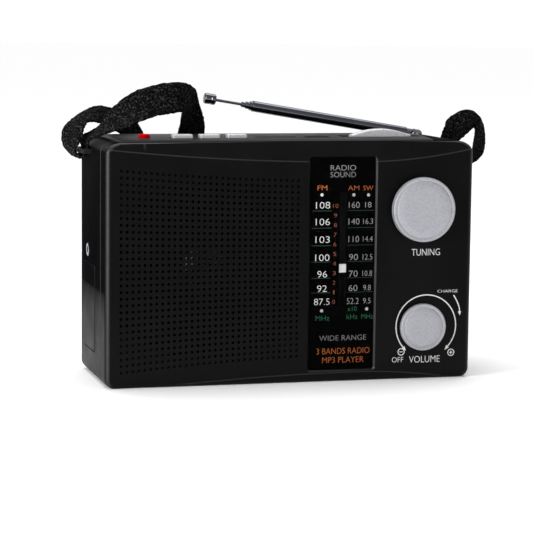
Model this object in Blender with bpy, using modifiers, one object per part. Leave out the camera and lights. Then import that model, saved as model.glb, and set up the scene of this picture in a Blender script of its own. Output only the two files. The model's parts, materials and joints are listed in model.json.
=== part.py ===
"""Portable three band receiver with a carrying strap and a telescopic antenna.

The front faces -Y and the top faces +Z. The origin is the middle of the flat
underside of the case. Sizes below are in millimetres and become metres when a
mesh is made.
"""
import math

import bmesh
import bpy
from mathutils import Matrix, Vector

MM = 0.001
GAP = 0.3                       # clearance between pieces that touch

# Case
CASE_WIDTH = 200.0
CASE_HEIGHT = 128.0
FRONT_Y = -36.0
BACK_Y = 36.0
PARTING_Y = -22.0               # joint between the two halves
FRONT_WALL = 3.0
WALL = 2.5
TOP_CORNER_WIDTH = 10.0         # the top corners are quarter ellipses
TOP_CORNER_DROP = 6.0
BOTTOM_CORNER = 5.0
FRONT_EDGE = 3.0                # rounding of the rim of each half
BACK_EDGE = 2.0
MIDDLE_Z = 61.0                 # the front styling is symmetrical about this height

# Two curved bands slope back from the flat front, above and below
CREASE_X = 37.0
CREASE_Z = 117.06
CREASE_RADIUS_LEFT = 1300.0
CREASE_RADIUS_RIGHT = 290.0
BAND_SETBACK = 2.0
BAND_RISE = CASE_HEIGHT - CREASE_Z

# Fittings on the back and the left side
SCREW_PLACES = ((-88.0, 12.0), (88.0, 12.0), (-88.0, 108.0), (70.0, 108.0))
JACK_Y, JACK_Z = 12.0, 68.0
SIDE_LOW_Y, SIDE_HIGH_Y = -6.0, 25.0
SIDE_LOW_Z, SIDE_HIGH_Z = 15.0, 61.0

# Speaker and its grille
SPEAKER_X = -44.6
SPEAKER_Z = MIDDLE_Z
GRILLE_LEFT = -91.8
GRILLE_RIGHT = 2.5
GRILLE_DROP = 10.0              # top row of holes below the crease
GRILLE_COLUMNS = 12
GRILLE_ROWS = 12
GRILLE_HOLE = 3.2

# Dial
WINDOW_LEFT, WINDOW_RIGHT = 9.0, 45.5
WINDOW_BOTTOM, WINDOW_TOP = 6.2, 119.9
SCALE_X = 27.8
POINTER_Z = 60.5
POINTER_LOW, POINTER_HIGH = 37.9, 100.7
SLOT_WIDTH = 4.0

# Controls on the front
TUNING_X, TUNING_Z = 70.8, 91.7
VOLUME_X, VOLUME_Z = 72.0, 28.5
TUNING_RADIUS = 17.2
VOLUME_RADIUS = 12.6
TUNING_HEIGHT = 6.8             # how far each knob stands off the front
VOLUME_HEIGHT = 5.0
KNOB_LIFT = 0.6
SPINDLE_RADIUS = 3.0
DRUM_RADIUS = 20.0              # the dial cord's radius on the drum
CORD_Y = -26.2
CORD_RADIUS = 0.4
GUIDE_RADIUS = 3.0
GUIDE_HIGH_Z, GUIDE_LOW_Z = 107.0, 30.0

# Deck on top
DECK_LEFT, DECK_RIGHT = -92.0, 79.0
DECK_FRONT, DECK_BACK = -31.5, 23.0
DECK_TOP = 129.7
DECK_CROWN_RADIUS = 400.0
DECK_THICKNESS = 2.5
ROW_Y = -17.0                   # line of the buttons and sockets
BUTTON_LENGTH, BUTTON_WIDTH = 10.6, 6.4
BUTTON_TOP = 131.0
BUTTONS = (("previous_button", -55.8), ("play_button", -41.2), ("next_button", -26.5))
MODE_X = -76.0
MODE_RADIUS = 3.0
CARD_X, CARD_LENGTH, CARD_WIDTH = -4.9, 22.0, 2.6
USB_X, USB_LENGTH, USB_WIDTH = 17.8, 13.0, 5.6
BAND_X, BAND_Y = 54.0, -14.0
BAND_LENGTH, BAND_WIDTH = 33.0, 6.2
BAND_SLOT_LENGTH, BAND_SLOT_WIDTH = 45.0, 7.0
BOARD_Z = 114.0

# Antenna
PIVOT = Vector((89.0, 28.5, 127.9))
ANTENNA_RISE = math.radians(9.4)
TROUGH_FRONT, TROUGH_FLOOR = 24.0, 121.0
TUBE_RADII = (3.0, 2.5, 2.0, 1.5)
TUBE_WALL = 0.25
TUBE_STARTS = (6.0, 8.0, 9.5, 11.0)
TUBE_ENDS = (96.5, 98.0, 100.2, 102.6)
ROD_RADIUS = 0.8
ROD_START, ROD_END = 12.5, 117.5
TIP_RADIUS, TIP_LENGTH = 3.0, 6.5

# Battery compartment in the back
DOOR_HALF_WIDTH = 65.0
DOOR_LOW, DOOR_HIGH = 3.5, 44.0
DOOR_AXIS_Z = 6.0
DOOR_THICKNESS = 2.3
CELL_RADIUS, CELL_LENGTH = 16.4, 61.0
CELL_Y, CELL_Z = 15.6, 22.5

# Carrying strap
STRAP_THICKNESS = 1.8
STRAP_BAR_X, STRAP_BAR_Z = 105.0, 121.0
STRAP_BAR_RADIUS = 1.25
STRAP_BAR_Y = (4.5, 26.5)
STRAP_STEPS = 3


# ---------------------------------------------------------------- helpers

def make_collection(name):
    group = bpy.data.collections.new(name)
    bpy.context.scene.collection.children.link(group)
    return group


def make_material(name, colour, roughness, metallic=0.0):
    material = bpy.data.materials.new(name)
    material.use_nodes = True
    shader = material.node_tree.nodes["Principled BSDF"]
    shader.inputs["Base Color"].default_value = (*colour, 1.0)
    shader.inputs["Roughness"].default_value = roughness
    shader.inputs["Metallic"].default_value = metallic
    return material


def add_object(name, data, material, group):
    obj = bpy.data.objects.new(name, data)
    group.objects.link(obj)
    if material is not None:
        data.materials.append(material)
    return obj


def add_mesh(name, bm, material, group, smooth=False):
    mesh = bpy.data.meshes.new(name)
    bm.to_mesh(mesh)
    bm.free()
    if smooth:
        mesh.shade_smooth()
        mesh.set_sharp_from_angle(angle=math.radians(35))
    return add_object(name, mesh, material, group)


def box(name, low, high, material, group, bevel=0.0):
    low, high = Vector(low), Vector(high)
    size = high - low
    bm = bmesh.new()
    bmesh.ops.create_cube(bm, size=1.0)
    for vertex in bm.verts:
        vertex.co = Vector([vertex.co[i] * size[i] * MM for i in range(3)])
    obj = add_mesh(name, bm, material, group)
    obj.location = (low + high) * 0.5 * MM
    if bevel:
        add_bevel(obj, bevel)
    return obj


def add_bevel(obj, width, segments=2):
    modifier = obj.modifiers.new("Edges", "BEVEL")
    modifier.width = width * MM
    modifier.segments = segments
    modifier.limit_method = "ANGLE"
    modifier.angle_limit = math.radians(40)


def cylinder(name, radius, start, end, material, group, segments=24):
    """A round bar between two points."""
    start, end = Vector(start), Vector(end)
    bm = bmesh.new()
    bmesh.ops.create_cone(bm, cap_ends=True, segments=segments, radius1=radius * MM,
                          radius2=radius * MM, depth=(end - start).length * MM)
    obj = add_mesh(name, bm, material, group, smooth=True)
    turn = (end - start).to_track_quat("Z", "Y")
    obj.matrix_world = Matrix.Translation((start + end) * 0.5 * MM) @ turn.to_matrix().to_4x4()
    return obj


def turned(name, profile, centre, axis, material, group, segments=32, closed=False):
    """A profile of (radius, height) spun round an axis, listed down its outer side."""
    mesh = bpy.data.meshes.new(name)
    points = [(radius * MM, 0.0, height * MM) for radius, height in profile]
    edges = [(i, i + 1) for i in range(len(points) - 1)]
    if closed:
        edges.append((len(points) - 1, 0))
    mesh.from_pydata(points, edges, [])
    obj = add_object(name, mesh, material, group)
    screw = obj.modifiers.new("Turn", "SCREW")
    screw.angle = math.tau
    screw.steps = segments
    screw.render_steps = segments
    screw.use_merge_vertices = True
    screw.merge_threshold = 0.00001
    screw.use_smooth_shade = False
    turn = Vector(axis).to_track_quat("Z", "Y")
    obj.matrix_world = Matrix.Translation(Vector(centre) * MM) @ turn.to_matrix().to_4x4()
    return obj


def wire(name, points, radius, material, group, cyclic=False):
    """A bent round wire as a curve with flat ends."""
    data = bpy.data.curves.new(name, "CURVE")
    data.dimensions = "3D"
    data.bevel_depth = radius * MM
    data.bevel_resolution = 2
    data.use_fill_caps = not cyclic
    spline = data.splines.new("POLY")
    spline.points.add(len(points) - 1)
    for target, point in zip(spline.points, points):
        target.co = (*(Vector(point) * MM), 1.0)
    spline.use_cyclic_u = cyclic
    return add_object(name, data, material, group)


def loft(name, rings, material, group):
    """A closed body through rings that all have the same number of points."""
    bm = bmesh.new()
    rows = [[bm.verts.new(Vector(point) * MM) for point in ring] for ring in rings]
    count = len(rings[0])
    for before, after in zip(rows, rows[1:]):
        for i in range(count):
            j = (i + 1) % count
            bm.faces.new((before[i], before[j], after[j], after[i]))
    bm.faces.new(reversed(rows[0]))
    bm.faces.new(rows[-1])
    bmesh.ops.recalc_face_normals(bm, faces=bm.faces)
    return add_mesh(name, bm, material, group)


def boolean(target, other, operation):
    modifier = target.modifiers.new(other.name, "BOOLEAN")
    modifier.operation = operation
    modifier.object = other
    other.hide_render = True
    other.display_type = "WIRE"


def cut(target, *cutters):
    for cutter in cutters:
        boolean(target, cutter, "DIFFERENCE")
    return target


def join(target, *others):
    for other in others:
        boolean(target, other, "UNION")
    return target


def pivot(name, location, *pieces):
    """An empty on a joint's axis, with the pieces that move on it."""
    empty = bpy.data.objects.new(name, None)
    empty.empty_display_size = 0.01
    empty.location = Vector(location) * MM
    PARTS.objects.link(empty)
    for piece in pieces:
        piece.parent = empty
        piece.matrix_parent_inverse = Matrix.Translation(-empty.location)
    return empty


# ---------------------------------------------------------------- shapes

def crease_height(x):
    """Height of the upper crease across the front."""
    radius = CREASE_RADIUS_LEFT if x < CREASE_X else CREASE_RADIUS_RIGHT
    return CREASE_Z + (x - CREASE_X) ** 2 / (2.0 * radius)


def deck_height(y):
    return DECK_TOP - y * y / (2.0 * DECK_CROWN_RADIUS)


def case_outline(inset, y, steps=5):
    """The case seen from the front, shrunk by an inset, as a ring at one depth."""
    half = CASE_WIDTH / 2.0 - inset
    top = CASE_HEIGHT - inset
    bottom_corner = (BOTTOM_CORNER, BOTTOM_CORNER)
    top_corner = (TOP_CORNER_WIDTH, TOP_CORNER_DROP)
    ring = []
    for x, z, corner, start in ((half, inset, bottom_corner, -90.0), (half, top, top_corner, 0.0),
                                (-half, top, top_corner, 90.0),
                                (-half, inset, bottom_corner, 180.0)):
        radius_x, radius_z = (max(size - inset, 0.5) for size in corner)
        centre_x = x - math.copysign(radius_x, x)
        centre_z = z + radius_z if z < MIDDLE_Z else z - radius_z
        for step in range(steps + 1):
            angle = math.radians(start + 90.0 * step / steps)
            ring.append((centre_x + radius_x * math.cos(angle), y,
                         centre_z + radius_z * math.sin(angle)))
    return ring


def rounded_rim(edge, rim_y, inward, steps=4):
    """Rings that round one rim of the case, from the face to the full outline."""
    rings = []
    for step in range(steps + 1):
        angle = math.radians(90.0 * step / steps)
        inset = edge * (1.0 - math.sin(angle))
        rings.append(case_outline(inset, rim_y + inward * edge * (1.0 - math.cos(angle))))
    return rings


def band_cutter(name, upward):
    """The wedge above the upper crease, or its mirror image below the lower one."""
    rings = []
    reach = CASE_WIDTH / 2.0 + 5.0
    count = 24
    slope = BAND_SETBACK / BAND_RISE
    for i in range(count + 1):
        x = -reach + 2.0 * reach * i / count
        crease = crease_height(x)
        top = CASE_HEIGHT + 10.0
        section = ((crease, FRONT_Y), (top, FRONT_Y + slope * (top - crease)),
                   (top, FRONT_Y - 4.0), (crease, FRONT_Y - 4.0))
        rings.append([(x, y, z if upward else 2.0 * MIDDLE_Z - z) for z, y in section])
    return loft(name, rings, None, CUTTERS)


def grille_cutter():
    """All the holes of the grille, in rows that follow the creases."""
    bm = bmesh.new()
    half = GRILLE_HOLE / 2.0
    pitch_x = (GRILLE_RIGHT - GRILLE_LEFT) / (GRILLE_COLUMNS - 1)
    for column in range(GRILLE_COLUMNS):
        x = GRILLE_LEFT + pitch_x * column
        top = crease_height(x) - GRILLE_DROP
        pitch_z = 2.0 * (top - MIDDLE_Z) / (GRILLE_ROWS - 1)
        for row in range(GRILLE_ROWS):
            centre = Vector((x, FRONT_Y + FRONT_WALL / 2.0, top - pitch_z * row))
            size = Vector((2.0 * half, FRONT_WALL + 4.0, 2.0 * half))
            place = Matrix.Translation(centre * MM) @ Matrix.Diagonal((*(size * MM), 1.0))
            bmesh.ops.create_cube(bm, size=1.0, matrix=place)
    return add_mesh("grille_holes", bm, None, CUTTERS)


# ---------------------------------------------------------------- case

def build_front_cabinet():
    rings = rounded_rim(FRONT_EDGE, FRONT_Y, 1.0) + [case_outline(0.0, PARTING_Y)]
    front = loft("front_cabinet", rings, BLACK, PARTS)
    hollow = loft("front_hollow", [case_outline(WALL, FRONT_Y + FRONT_WALL),
                                   case_outline(WALL, PARTING_Y + 1.0)], None, CUTTERS)
    window = box("window", (WINDOW_LEFT, FRONT_Y - 2.0, WINDOW_BOTTOM),
                 (WINDOW_RIGHT, FRONT_Y + FRONT_WALL + 2.0, WINDOW_TOP), None, CUTTERS)
    holes = [cylinder("hole_" + name, SPINDLE_RADIUS + 1.0, (x, FRONT_Y - 2.0, z),
                      (x, FRONT_Y + FRONT_WALL + 2.0, z), None, CUTTERS)
             for name, x, z in (("tuning", TUNING_X, TUNING_Z), ("volume", VOLUME_X, VOLUME_Z))]
    cut(front, hollow, band_cutter("upper_band", True), band_cutter("lower_band", False),
        window, deck_opening("front_deck_opening"), grille_cutter(), *holes)


def deck_opening(name):
    return box(name, (DECK_LEFT - GAP, DECK_FRONT - GAP, CASE_HEIGHT - 8.0),
               (DECK_RIGHT + GAP, DECK_BACK + GAP, CASE_HEIGHT + 8.0), None, CUTTERS)


def build_rear_cabinet():
    rings = rounded_rim(BACK_EDGE, BACK_Y, -1.0) + [case_outline(0.0, PARTING_Y + GAP)]
    rear = loft("rear_cabinet", rings, BLACK, PARTS)
    hollow = loft("rear_hollow", [case_outline(WALL, PARTING_Y - 1.0),
                                  case_outline(WALL, BACK_Y - WALL)], None, CUTTERS)
    over_trough = box("over_trough", (-120.0, DECK_BACK - 2.0, TROUGH_FLOOR - WALL),
                      (120.0, BACK_Y + 10.0, 150.0), None, CUTTERS)
    pocket_block = box("pocket_block", (PIVOT.x - 12.0, PIVOT.y - 10.0, 106.0),
                       (120.0, BACK_Y + 10.0, 150.0), None, CUTTERS)
    cut(hollow, over_trough, pocket_block)
    trough = box("trough", (DECK_LEFT, TROUGH_FRONT, TROUGH_FLOOR),
                 (PIVOT.x + 7.0, BACK_Y + 10.0, 150.0), None, CUTTERS)
    pocket = cylinder("pocket", 7.0, (PIVOT.x, PIVOT.y, TROUGH_FLOOR - 0.5),
                      (PIVOT.x, PIVOT.y, 150.0), None, CUTTERS, 32)
    swivel_hole = cylinder("swivel_hole", 2.4, (PIVOT.x, PIVOT.y, 110.0),
                           (PIVOT.x, PIVOT.y, 125.0), None, CUTTERS)
    door_hole = box("door_hole", (-DOOR_HALF_WIDTH, BACK_Y - 6.0, DOOR_LOW),
                    (DOOR_HALF_WIDTH, BACK_Y + 6.0, DOOR_HIGH), None, CUTTERS)
    jack_hole = cylinder("jack_hole", 3.2, (-CASE_WIDTH / 2.0 - 2.0, JACK_Y, JACK_Z),
                         (-CASE_WIDTH / 2.0 + 5.0, JACK_Y, JACK_Z), None, CUTTERS)
    recess = box("side_recess", (-CASE_WIDTH / 2.0 - 2.0, SIDE_LOW_Y - GAP, SIDE_LOW_Z - GAP),
                 (-CASE_WIDTH / 2.0 + 1.0, SIDE_HIGH_Y + GAP, SIDE_HIGH_Z + GAP), None, CUTTERS)
    cut(rear, hollow, deck_opening("rear_deck_opening"), trough, pocket, swivel_hole,
        door_hole, jack_hole, recess)
    for i, (x, z) in enumerate(SCREW_PLACES, 1):
        well = cylinder("screw_well_%d" % i, 3.6, (x, BACK_Y - 1.3, z), (x, BACK_Y + 5.0, z),
                        None, CUTTERS)
        hole = cylinder("screw_hole_%d" % i, 1.8, (x, BACK_Y - 6.0, z), (x, BACK_Y, z),
                        None, CUTTERS)
        cut(rear, well, hole)


def build_screws():
    for i, (x, z) in enumerate(SCREW_PLACES, 1):
        profile = ((0.0, 1.0), (2.0, 1.0), (3.0, 0.4), (3.0, 0.0), (1.4, 0.0), (1.4, -7.0),
                   (0.0, -8.0))
        turned("case_screw_%d" % i, profile, (x, BACK_Y - 1.0, z), (0, 1, 0), STEEL, PARTS, 16)


def build_side_fittings():
    box("side_panel", (-CASE_WIDTH / 2.0 - 0.2, SIDE_LOW_Y, SIDE_LOW_Z),
        (-CASE_WIDTH / 2.0 + 1.0 - GAP, SIDE_HIGH_Y, SIDE_HIGH_Z), BLACK, PARTS)
    profile = ((1.8, 0.8), (3.6, 0.8), (3.6, GAP), (2.8, GAP), (2.8, -12.0), (1.8, -12.0))
    turned("earphone_jack", profile, (-CASE_WIDTH / 2.0, JACK_Y, JACK_Z), (-1, 0, 0),
           STEEL, PARTS, 24, closed=True)


# ---------------------------------------------------------------- deck

def build_top_panel():
    """A crowned plate: sections across the case, from the front to the back."""
    rings = []
    count = 8
    for i in range(count + 1):
        y = DECK_FRONT + (DECK_BACK - DECK_FRONT) * i / count
        top = deck_height(y)
        low = top - DECK_THICKNESS
        shoulder = 0.8
        rings.append([(DECK_LEFT, y, low), (DECK_RIGHT, y, low),
                      (DECK_RIGHT, y, top - shoulder), (DECK_RIGHT - shoulder, y, top),
                      (DECK_LEFT + shoulder, y, top), (DECK_LEFT, y, top - shoulder)])
    panel = loft("top_panel", rings, DECK_GREY, PARTS)
    deep, high = 120.0, 135.0
    openings = [slot_cutter("hole_" + name, x, ROW_Y, BUTTON_LENGTH + 0.8, BUTTON_WIDTH + 0.8)
                for name, x in BUTTONS]
    openings.append(cylinder("hole_mode", MODE_RADIUS + 0.4, (MODE_X, ROW_Y, deep),
                             (MODE_X, ROW_Y, high), None, CUTTERS))
    openings.append(slot_cutter("card_slot", CARD_X, ROW_Y, CARD_LENGTH, CARD_WIDTH))
    openings.append(slot_cutter("usb_slot", USB_X, ROW_Y, USB_LENGTH, USB_WIDTH))
    openings.append(slot_cutter("band_slot", BAND_X, BAND_Y, BAND_SLOT_LENGTH, BAND_SLOT_WIDTH))
    cut(panel, *openings)


def slot_cutter(name, x, y, length, width):
    return box(name, (x - length / 2.0, y - width / 2.0, 120.0),
               (x + length / 2.0, y + width / 2.0, 135.0), None, CUTTERS)


def build_buttons():
    flange_top = deck_height(ROW_Y) - DECK_THICKNESS - 0.7
    for name, x in BUTTONS:
        half_x, half_y = BUTTON_LENGTH / 2.0, BUTTON_WIDTH / 2.0
        cap = box(name, (x - half_x, ROW_Y - half_y, flange_top - 0.5),
                  (x + half_x, ROW_Y + half_y, BUTTON_TOP), SILVER, PARTS)
        add_bevel(cap, 0.5)
        flange = box(name + "_flange", (x - half_x - 0.9, ROW_Y - half_y - 0.9, flange_top - 1.0),
                     (x + half_x + 0.9, ROW_Y + half_y + 0.9, flange_top), None, CUTTERS)
        stem = cylinder(name + "_stem", 1.5, (x, ROW_Y, BOARD_Z + 3.9),
                        (x, ROW_Y, flange_top - 0.4), None, CUTTERS, 12)
        join(cap, flange, stem)
        pivot(name + "_guide", (x, ROW_Y, BUTTON_TOP), cap)
    low = BOARD_Z + 3.9
    profile = ((0.0, 131.2), (MODE_RADIUS - 0.6, 131.2), (MODE_RADIUS, 130.6),
               (MODE_RADIUS, flange_top), (MODE_RADIUS + 1.0, flange_top),
               (MODE_RADIUS + 1.0, flange_top - 1.0), (1.5, flange_top - 1.0), (1.5, low),
               (0.0, low))
    mode = turned("mode_button", profile, (MODE_X, ROW_Y, 0.0), (0, 0, 1), RED, PARTS, 24)
    pivot("mode_button_guide", (MODE_X, ROW_Y, 131.0), mode)


def build_player():
    board = box("player_board", (-86.0, -29.0, BOARD_Z), (30.0, -6.0, BOARD_Z + 1.6), GREEN,
                PARTS)
    for name, x in BUTTONS + (("mode_button", MODE_X),):
        switch = box(name + "_switch", (x - 3.0, ROW_Y - 3.0, BOARD_Z + 1.0),
                     (x + 3.0, ROW_Y + 3.0, BOARD_Z + 2.8), None, CUTTERS)
        join(board, switch)
    top = deck_height(ROW_Y) - DECK_THICKNESS - 0.6
    for name, x, length, width in (("card_socket", CARD_X, CARD_LENGTH, CARD_WIDTH),
                                   ("usb_socket", USB_X, USB_LENGTH, USB_WIDTH)):
        half_x, half_y = length / 2.0, width / 2.0
        shell = box(name, (x - half_x - 0.8, ROW_Y - half_y - 0.8, BOARD_Z + 1.6 + GAP),
                    (x + half_x + 0.8, ROW_Y + half_y + 0.8, top), STEEL, PARTS)
        mouth = box(name + "_mouth", (x - half_x, ROW_Y - half_y, BOARD_Z + 3.0),
                    (x + half_x, ROW_Y + half_y, 135.0), None, CUTTERS)
        cut(shell, mouth)


def build_band_switch():
    """A sliding knob with an arched top, and the switch under it."""
    rings = []
    count = 12
    half = BAND_LENGTH / 2.0
    low, end_top, rise = 125.0, 130.2, 3.2
    for i in range(count + 1):
        along = -1.0 + 2.0 * i / count
        top = end_top + rise * math.cos(along * math.pi / 2.0)
        x = BAND_X + half * along
        near, far = BAND_Y - BAND_WIDTH / 2.0, BAND_Y + BAND_WIDTH / 2.0
        rings.append([(x, near, low), (x, far, low), (x, far, top - 0.8), (x, far - 0.8, top),
                      (x, near + 0.8, top), (x, near, top - 0.8)])
    knob = loft("band_knob", rings, SILVER, PARTS)
    slide = box("band_slide", (BAND_X - 19.0, BAND_Y - 5.5, 124.2),
                (BAND_X + 19.0, BAND_Y + 5.5, 125.4), None, CUTTERS)
    lever = box("band_lever", (BAND_X - 2.0, BAND_Y - 1.5, 120.0),
                (BAND_X + 2.0, BAND_Y + 1.5, 124.6), None, CUTTERS)
    join(knob, slide, lever)
    pivot("band_knob_guide", (BAND_X, BAND_Y, 125.0), knob)
    body = box("band_switch", (BAND_X - 15.0, BAND_Y - 4.0, 114.0),
               (BAND_X + 15.0, BAND_Y + 4.0, 122.5), STEEL, PARTS)
    groove = box("band_groove", (BAND_X - 8.0, BAND_Y - 2.0, 119.0),
                 (BAND_X + 8.0, BAND_Y + 2.0, 126.0), None, CUTTERS)
    cut(body, groove)


# ---------------------------------------------------------------- dial and controls

def build_dial():
    box("dial_lens", (WINDOW_LEFT + GAP, FRONT_Y, WINDOW_BOTTOM + GAP),
        (WINDOW_RIGHT - GAP, FRONT_Y + 1.6, WINDOW_TOP - GAP), LENS, PARTS)
    scale = box("dial_scale", (WINDOW_LEFT - 3.0, FRONT_Y + 3.4, WINDOW_BOTTOM + 1.0),
                (WINDOW_RIGHT + 3.0, FRONT_Y + 4.4, WINDOW_TOP - 1.0), DIAL_BLACK, PARTS)
    half = SLOT_WIDTH / 2.0
    slot = box("pointer_slot", (SCALE_X - half, FRONT_Y, POINTER_LOW - 3.0),
               (SCALE_X + half, FRONT_Y + 8.0, POINTER_HIGH + 3.0), None, CUTTERS)
    cut(scale, slot)
    z = POINTER_Z
    pointer = box("dial_pointer", (SCALE_X - 2.3, FRONT_Y + 2.1, z - 2.3),
                  (SCALE_X + 2.3, FRONT_Y + 3.0, z + 2.3), WHITE, PARTS)
    neck = box("pointer_neck", (SCALE_X - 1.4, FRONT_Y + 2.8, z - 1.8),
               (SCALE_X + 1.4, FRONT_Y + 5.4, z + 1.8), None, CUTTERS)
    carriage = box("pointer_carriage", (SCALE_X - 6.0, FRONT_Y + 4.8, z - 4.0),
                   (SCALE_X + 6.0, FRONT_Y + 6.2, z + 4.0), None, CUTTERS)
    clip = box("pointer_clip", (SCALE_X - 2.2, FRONT_Y + 5.8, z - 1.2),
               (SCALE_X + 2.0, CORD_Y + 1.0, z + 1.2), None, CUTTERS)
    join(pointer, neck, carriage, clip)
    pivot("pointer_guide", (SCALE_X, FRONT_Y + 2.1, z), pointer)


def build_dial_cord():
    """The cord runs round the drum and the two guides, like a belt."""
    clearance = CORD_RADIUS + GAP
    circles = ((TUNING_X, TUNING_Z, DRUM_RADIUS), (SCALE_X, GUIDE_HIGH_Z, GUIDE_RADIUS + clearance),
               (SCALE_X, GUIDE_LOW_Z, GUIDE_RADIUS + clearance))
    points = []
    for i, (x, z, radius) in enumerate(circles):
        before, after = circles[i - 1], circles[(i + 1) % 3]
        start = tangent_angle(before, circles[i])
        end = tangent_angle(circles[i], after)
        while end < start:
            end += math.tau
        count = max(3, int((end - start) / math.radians(14)))
        for step in range(count + 1):
            angle = start + (end - start) * step / count
            points.append((x + radius * math.cos(angle), CORD_Y, z + radius * math.sin(angle)))
    wire("dial_cord", points, CORD_RADIUS, CORD, PARTS, cyclic=True)
    for name, z in (("cord_guide_top", GUIDE_HIGH_Z), ("cord_guide_bottom", GUIDE_LOW_Z)):
        flange = GUIDE_RADIUS + 1.0
        profile = ((0.0, 29.0), (flange, 29.0), (flange, 28.0), (GUIDE_RADIUS, 27.3),
                   (GUIDE_RADIUS, 25.1), (flange, 24.4), (flange, 13.4), (0.0, 13.4))
        turned(name, profile, (SCALE_X, 0.0, z), (0, -1, 0), WHITE, PARTS, 16)


def tangent_angle(first, second):
    """Direction of the contact radius of the outer tangent that leaves one circle for another."""
    run_x, run_z = second[0] - first[0], second[1] - first[1]
    distance = math.hypot(run_x, run_z)
    return math.atan2(run_z, run_x) - math.acos((first[2] - second[2]) / distance)


def knob_pair(name, radius, height, x, z):
    """A black knob body with a silver face set in its front."""
    face_back = 0.55 * height
    face_radius = radius - 0.1
    profile = ((0.0, face_back - GAP), (radius - 0.6, face_back - GAP), (radius, face_back - 0.9),
               (radius, KNOB_LIFT), (SPINDLE_RADIUS + GAP, KNOB_LIFT),
               (SPINDLE_RADIUS + GAP, face_back - 1.3), (0.0, face_back - 1.3))
    knob = turned(name + "_knob", profile, (x, FRONT_Y, z), (0, -1, 0), BLACK, PARTS, 40)
    profile = ((0.0, height - 0.5), (face_radius * 0.80, height - 0.5), (face_radius * 0.86, height),
               (face_radius - 0.5, height), (face_radius, height - 0.5), (face_radius, face_back),
               (0.0, face_back))
    face = turned(name + "_knob_face", profile, (x, FRONT_Y, z), (0, -1, 0), SILVER,
                  PARTS, 40)
    return knob, face, face_back


def build_tuning():
    knob, face, face_back = knob_pair("tuning", TUNING_RADIUS, TUNING_HEIGHT, TUNING_X,
                                      TUNING_Z)
    spindle = cylinder("tuning_spindle", SPINDLE_RADIUS,
                       (TUNING_X, FRONT_Y - face_back + 1.3 + GAP, TUNING_Z),
                       (TUNING_X, -16.0, TUNING_Z), STEEL, PARTS)
    rim, floor = DRUM_RADIUS + 1.0, DRUM_RADIUS - CORD_RADIUS - GAP
    inner = SPINDLE_RADIUS + GAP
    middle = -CORD_Y
    profile = ((rim, middle + 2.0), (rim, middle + 1.2), (floor, middle + 0.5),
               (floor, middle - 0.5), (rim, middle - 1.2), (rim, middle - 2.0),
               (inner, middle - 2.0), (inner, middle + 2.0))
    drum = turned("dial_drum", profile, (TUNING_X, 0.0, TUNING_Z), (0, -1, 0), WHITE, PARTS, 32,
                  closed=True)
    pivot("tuning_axis", (TUNING_X, FRONT_Y, TUNING_Z), knob, face, spindle, drum)
    capacitor = box("tuning_capacitor", (TUNING_X - 10.0, -23.5, TUNING_Z - 10.0),
                    (TUNING_X + 10.0, -13.4, TUNING_Z + 10.0), LENS, PARTS, 0.8)
    bore = cylinder("capacitor_bore", SPINDLE_RADIUS + GAP, (TUNING_X, -30.0, TUNING_Z),
                    (TUNING_X, -15.6, TUNING_Z), None, CUTTERS)
    cut(capacitor, bore)


def build_volume():
    knob, face, face_back = knob_pair("volume", VOLUME_RADIUS, VOLUME_HEIGHT, VOLUME_X,
                                      VOLUME_Z)
    shaft = cylinder("volume_shaft", SPINDLE_RADIUS,
                     (VOLUME_X, FRONT_Y - face_back + 1.3 + GAP, VOLUME_Z),
                     (VOLUME_X, -16.0, VOLUME_Z), STEEL, PARTS)
    pivot("volume_axis", (VOLUME_X, FRONT_Y, VOLUME_Z), knob, face, shaft)
    profile = ((SPINDLE_RADIUS + GAP, 27.0), (5.0, 27.0), (5.0, 23.0), (8.5, 23.0), (8.5, 13.4),
               (0.0, 13.4), (0.0, 15.6), (SPINDLE_RADIUS + GAP, 15.6))
    turned("volume_control", profile, (VOLUME_X, 0.0, VOLUME_Z), (0, -1, 0), STEEL, PARTS, 28,
           closed=True)


def build_inside():
    box("main_board", (2.0, -13.0, 12.0), (95.0, -11.4, 112.0), GREEN, PARTS)
    centre = (SPEAKER_X, 0.0, SPEAKER_Z)
    basket = ((47.0, 32.6), (47.0, 31.4), (43.5, 31.4), (19.0, 19.3), (19.0, 18.0), (9.0, 18.0),
              (9.0, 19.0), (17.6, 20.1), (42.0, 32.6))
    turned("speaker_frame", basket, centre, (0, -1, 0), STEEL, PARTS, 32, closed=True)
    cone = ((0.0, 30.4), (7.0, 29.8), (13.0, 28.0), (18.0, 24.9), (40.6, 32.5), (40.6, 32.2),
            (18.0, 24.3), (0.0, 24.3))
    turned("speaker_cone", cone, centre, (0, -1, 0), CONE, PARTS, 32)
    magnet = ((0.0, 17.6), (20.0, 17.6), (20.0, 8.5), (0.0, 8.5))
    turned("speaker_magnet", magnet, centre, (0, -1, 0), FERRITE, PARTS, 32)
    rod_y, rod_z, rod_radius = 8.0, 108.0, 5.0
    cylinder("ferrite_rod", rod_radius, (-60.0, rod_y, rod_z), (45.0, rod_y, rod_z), FERRITE,
             PARTS)
    coil = ((rod_radius + 2.2, 30.0), (rod_radius + 2.2, 0.0), (rod_radius + GAP, 0.0),
            (rod_radius + GAP, 30.0))
    turned("aerial_coil", coil, (5.0, rod_y, rod_z), (1, 0, 0), COPPER, PARTS, 28, closed=True)


# ---------------------------------------------------------------- batteries

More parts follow.
